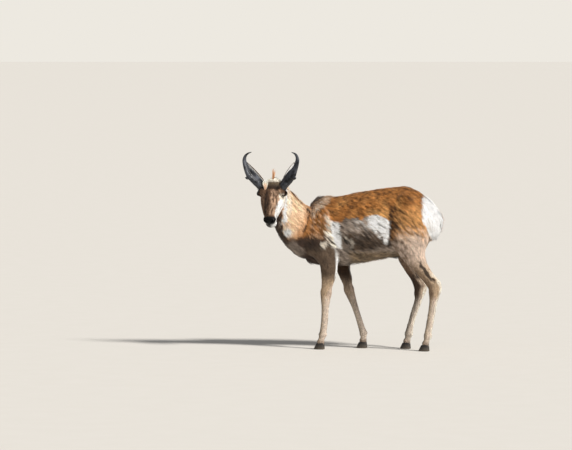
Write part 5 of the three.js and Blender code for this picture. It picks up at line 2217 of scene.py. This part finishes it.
@dataclass
class Ear:
    """A pointed leaf with a cup, held up behind the horn."""

    side: Side
    half_width: float = 22.0
    thickness: float = 3.0
    root: tuple[float, float, float] = (50, 49, 961)
    tip_back: float = 62
    tip_height: float = 1090
    around: int = 40
    along: int = 48
    hairs: int = 3200
    cup_length: tuple[float, float] = (9, 17)
    back_length: tuple[float, float] = (6, 9)

    def axes(self) -> tuple[Array, Array, Array, Array, float]:
        """Root, axis, across and outward directions, and length, set out from between the eyes."""
        eye = np.array(HEAD.middle)
        sign = self.side.value
        out, back, height = self.root
        root = np.array([eye[0] + sign * out, eye[1] + back, height])
        tip = np.array([eye[0] + sign * EAR_SPREAD[self.side], eye[1] + self.tip_back, self.tip_height])
        axis = unit(tip - root)
        opening = unit(np.array([sign * 0.8, -0.6, 0]))
        across = unit(np.cross(axis, opening))
        return root, axis, across, unit(np.cross(across, axis)), float(np.linalg.norm(tip - root))

    def place(self, angle: Array, way: Array) -> Array:
        """The ear's skin: half width w = W sin(pi way^0.8)^0.75, bulging behind and hollowed by 0.42 w."""
        root, axis, across, out, length = self.axes()
        half = self.half_width * np.sin(math.pi * np.clip(way, 0, 1) ** 0.8) ** 0.75
        bow = 5 * np.sin(math.pi * way)
        dish = 0.42 * half * np.abs(np.sin(angle)) ** 1.2
        thick = np.minimum(self.thickness, 0.3 * half) * np.abs(np.sin(angle)) ** 0.5
        depth = np.where(np.sin(angle) > 0, thick - dish, -dish)
        place = root + axis * (length * way)[:, None] + across * (half * np.cos(angle))[:, None]
        return place + out * (bow + depth)[:, None]

    def flesh(self) -> MeshData:
        """The ear's leaf with its colours: tan back, dark rim and tip, white cup."""
        mesh = closed_grid(self.around, self.along, self.place)
        mesh.colours = self.colour(*grid_places(self.around, self.along))
        mesh.values = {"Bare": np.zeros(len(mesh.points))}
        return mesh

    def colour(self, angle: Array, way: Array) -> Array:
        """Linear colours at each angle and way."""
        coat = Paint("ear", len(angle))
        coat.lay("white", step(np.sin(angle), 0.1, 0.5))
        coat.lay("ear_rim", np.maximum(step(np.abs(np.cos(angle)), 0.9, 0.98), step(way, 0.88, 0.97)))
        return coat.hue

    def hair(self, rng: np.random.Generator) -> TuftField:
        """Short hair on the back and rim, and long white hair in the cup."""
        count = self.hairs
        angle = rng.uniform(0, 2 * math.pi, count)
        way = rng.uniform(0.04, 0.97, count)
        _, _, across, out, _ = self.axes()
        places = self.place(angle, way)
        ahead = self.place(angle, np.minimum(way + 0.01, 1)) - places
        beside = self.place(angle + 0.02, way) - places
        normals = unit(np.cross(beside, ahead))
        back = np.where(np.sin(angle) > 0, 1.0, -1.0)[:, None] * out
        normals = normals * np.sign((normals * back).sum(1))[:, None]
        inner = np.sin(angle) > 0.15
        apart = across * np.sign(np.cos(angle))[:, None] + out * 0.4
        lies = unit(ahead) + np.where(inner, 0.5, 0)[:, None] * apart
        lies = unit(lies - 0.9 * normals * (lies * normals).sum(1)[:, None])
        length = np.where(inner, rng.uniform(*self.cup_length, count), rng.uniform(*self.back_length, count))
        length = length * (0.3 + 0.7 * step(way, 0.95, 0.55))
        turned = EAR_ISLAND_LEFT[self.side] + 0.07 * angle / (2 * math.pi)
        flat = np.column_stack([turned, 0.64 + 0.2 * way])
        shade = 1 + 0.1 * rng.standard_normal(count)
        return TuftField(
            places, normals, lies, length, np.full(count, 1.9), np.where(inner, 2.2, 0.7),
            rng.uniform(-1.5, 1.5, count), self.colour(angle, way) * shade[:, None], flat, sink=0.5,
        )


@dataclass
class Hoof:
    """A foot's two pointed claws, rounded at the coronet and flat on the ground."""

    node_name: str
    width: float = 25.0
    height: float = 38.0
    sole_way: float = 0.12
    dome_way: float = 0.8
    toe_pinch: float = 0.72

    def build(self, material: bpy.types.Material) -> None:
        """Builds the claw inside its node's box."""
        low, high = (np.array(corner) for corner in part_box(self.node_name))
        low, high = PLACEMENT.animal(low), PLACEMENT.animal(high)
        side = self.split_side()
        middle_y = (low[1] + high[1]) / 2
        heel, toe = high[0] - 1.0, low[0] + 0.5

        def place(angle: Array, way: Array) -> Array:
            """An outline pointed at the toe, drawn in as it rises and closed by a dome and a flat sole."""
            rise = np.clip((way - self.sole_way) / (self.dome_way - self.sole_way), 0, 1)
            sole = np.clip(way / self.sole_way, 0, 1) ** 0.8
            dome = np.cos(np.clip((way - self.dome_way) / (1 - self.dome_way), 0, 1) * math.pi / 2)
            shrink = (1 - 0.22 * rise ** 1.3) * sole * dome
            ring = np.cos(angle)
            long = (toe + heel) / 2 + (toe - heel) / 2 * ring * shrink * (1 - 0.14 * rise) + 7 * rise
            pinch = 1 - self.toe_pinch * step(ring, 0.2, 1.0)
            wide = np.sign(np.sin(angle)) * np.abs(np.sin(angle)) ** 0.8 * pinch * shrink
            wide = (self.width / 2 - 0.4) * wide
            inward = side * 3.2 * step(ring, 0.0, 1.0) * shrink
            height = self.height * (0.93 * rise + 0.07 * (1 - dome) * (way > self.dome_way))
            return np.column_stack([long, middle_y + wide - inward, height])

        name = self.node_name.replace("hoof", "claw")
        closed_grid(56, 44, place).build(name, material, "hoof", (self.node_name,))

    def split_side(self) -> float:
        """The sign of the direction from the foot's split to this claw."""
        left = "_left_" in self.node_name
        outer = self.node_name.endswith("outer")
        return -1.0 if left == outer else 1.0


# The studio


@dataclass
class Studio:
    """A pale floor, soft lights and a camera at the photograph's angle."""

    distance: float = 22.0
    height: float = 1.71
    turn: float = math.radians(12)
    heading: float = math.radians(1.344)
    pitch: float = math.radians(2.57)
    focal_pixels: float = 3793.0
    sensor: float = 36.0
    key_from: tuple[float, float, float] = (0.66, -0.36, 0.66)
    key_strength: float = 4.2
    key_width: float = math.radians(9)
    sky_strength: float = 0.3
    seen_strength: float = 1.16
    key_tone: str = "#fffcf8"
    sky_tone: str = "#eef0f4"
    seen_tone: str = "#dedad2"
    floor_radius: float = 900.0

    def camera(self) -> None:
        """Sets the camera: 22 m from the animal's origin, 12 degrees towards its tail."""
        look = self.turn
        ahead = np.array([-math.sin(look), math.cos(look), 0])
        origin = PLACEMENT.shift() * np.array([1, 1, 0])
        place = origin - ahead * self.distance + np.array([0, 0, self.height])
        turned = look + self.heading
        level = math.cos(self.pitch)
        line = Vector((-math.sin(turned) * level, math.cos(turned) * level, -math.sin(self.pitch)))
        data = bpy.data.cameras.new("camera")
        data.sensor_width = self.sensor
        data.lens = self.sensor * self.focal_pixels / PHOTO_WIDTH
        data.clip_end = 2000
        eye = bpy.data.objects.new("camera", data)
        eye.location = place
        eye.rotation_mode = "QUATERNION"
        eye.rotation_quaternion = line.to_track_quat("-Z", "Y")
        bpy.context.scene.collection.objects.link(eye)
        bpy.context.scene.camera = eye

    def floor(self) -> None:
        """A wide pale floor, a disc of rings."""
        rings, around = 16, 64
        reach = self.floor_radius * np.linspace(0, 1, rings + 1)[1:] ** 3
        angle = np.linspace(0, 2 * math.pi, around, endpoint=False)
        far, turn = np.meshgrid(reach, angle, indexing="ij")
        across, along = (far * np.cos(turn)).ravel(), (far * np.sin(turn)).ravel()
        points = np.vstack([np.column_stack([across, along, np.zeros(far.size)]), [[0, 0, 0]]])
        ring = np.arange(around)
        rows = np.arange(rings - 1)[:, None] * around
        quads = band(rows, rows + around, around)[:, ::-1]
        fan = np.column_stack([ring, (ring + 1) % around, np.full(around, far.size)])
        mesh = bpy.data.meshes.new("floor")
        mesh.from_pydata(points.tolist(), [], [*quads.tolist(), *fan.tolist()])
        mesh.materials.append(FloorFinish().material())
        piece = bpy.data.objects.new("floor", mesh)
        bpy.context.scene.collection.objects.link(piece)

    def lights(self) -> None:
        """A wide soft sun from the viewer's right and above, and an even pale sky.

        The sky shows itself to the camera as bright as the lit floor, so that no line parts them.
        """
        data = bpy.data.lights.new("key", "SUN")
        data.energy = self.key_strength
        data.angle = self.key_width
        data.color = tuple(linear(self.key_tone))
        key = bpy.data.objects.new("key", data)
        key.rotation_mode = "QUATERNION"
        key.rotation_quaternion = (-Vector(self.key_from)).to_track_quat("-Z", "Y")
        bpy.context.scene.collection.objects.link(key)
        world = bpy.data.worlds.new("studio")
        world.use_nodes = True
        tree = world.node_tree
        sky = tree.nodes["Background"]
        sky.inputs["Color"].default_value = (*linear(self.sky_tone), 1)
        sky.inputs["Strength"].default_value = self.sky_strength
        tone = (*linear(self.seen_tone), 1)
        seen = node(tree, "Background", {"Color": tone, "Strength": self.seen_strength})
        ray = node(tree, "LightPath")
        both = node(tree, "MixShader", links={0: (ray, "Is Camera Ray"), 1: sky, 2: seen})
        tree.links.new(both.outputs[0], tree.nodes["World Output"].inputs["Surface"])
        bpy.context.scene.world = world
        bpy.context.scene.view_settings.view_transform = "Standard"


# The whole


def dress_skin(body: Body, skin: Surface, eyes: list[Eye], ears: list[Ear]) -> None:
    """Paints the skin, joins lids and ears to it and builds the one piece that stands for the flesh.

    Args:
        body: The parts.
        skin: Their surface.
        eyes: Whose lids are joined.
        ears: Joined at their roots.
    """
    survey = body.survey(skin.points)
    # painted shade on the hide between the tufts
    shade = np.clip(survey.blended("colour", COLOUR_BLEND) * HIDE_SHADE, 0, 1)
    mesh = MeshData(skin.points, [skin.quads], shade)
    near_head = survey.nearest() == len(body.parts) - 1
    mesh.values = {"Bare": SKULL.bare(skin.points) * near_head}
    for part in (*(eye.lids() for eye in eyes), *(ear.flesh() for ear in ears)):
        mesh = mesh.joined(part)
    mesh.build("hide", SkinFinish().material(), "coat", FLESH)


def main() -> None:
    """Builds the studio, then the animal piece by piece."""
    logging.basicConfig(level=logging.INFO, format="%(name)s: %(message)s")
    studio = Studio()
    studio.camera()
    studio.floor()
    studio.lights()
    rng = np.random.default_rng(EAR_SEED)
    body = Body()
    skin = body.skin()
    eyes = [Eye(side) for side in Side]
    ears = [Ear(side) for side in Side]
    dress_skin(body, skin, eyes, ears)
    hair = HairFinish().material()
    Coat(body, skin).pieces(hair)
    long_hair = (
        Mane("mane", 5.0, 44, 4.2, 12, (0, 0, 0.5)),
        Withers("withers", 6.0, 42, 4.8, 13, (0, 0, -0.1), 0, 0.6),
        RumpHair("rump", 4.4, 32, 4.4, 7, (0.0, 0, -0.3)),
        Fringe("fringe", 3.2, 34, 3.6, 6, (0.3, 0, -0.6), 5.0),
        Crown("crown", 20.0, 24, 3.0, 5, (0, 0.2, 1.2), 0, 0.2),
        Crest("crest", 44.0, 62, 2.6, 0, (0, 0.05, 1.6), 0, 0.0, 0.2, 0.08),
        HornTuft("horn_foot", 22.0, 34, 3.0, 9, (0, -0.6, 1.0), 0, 0.1),
    )
    first, gap = LOCK_SEEDS
    for number, kind in enumerate(long_hair):
        kind.build(body, skin, hair, first + gap * number)
    horn, wet, keratin = HornFinish().material(), EyeFinish().material(), HoofFinish().material()
    for side, eye, ear in zip(Side, eyes, ears):
        Horn(side).build(horn)
        eye.eyeball(wet)
        eye.lashes(rng).mesh().build(f"lashes_{side.word}", hair, "coat")
        ear.hair(rng).mesh().build(f"ear_hair_{side.word}", hair, "coat")
    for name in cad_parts:
        if name.startswith("hoof_"):
            Hoof(name).build(keratin)


if __name__ == "__main__":
    main()
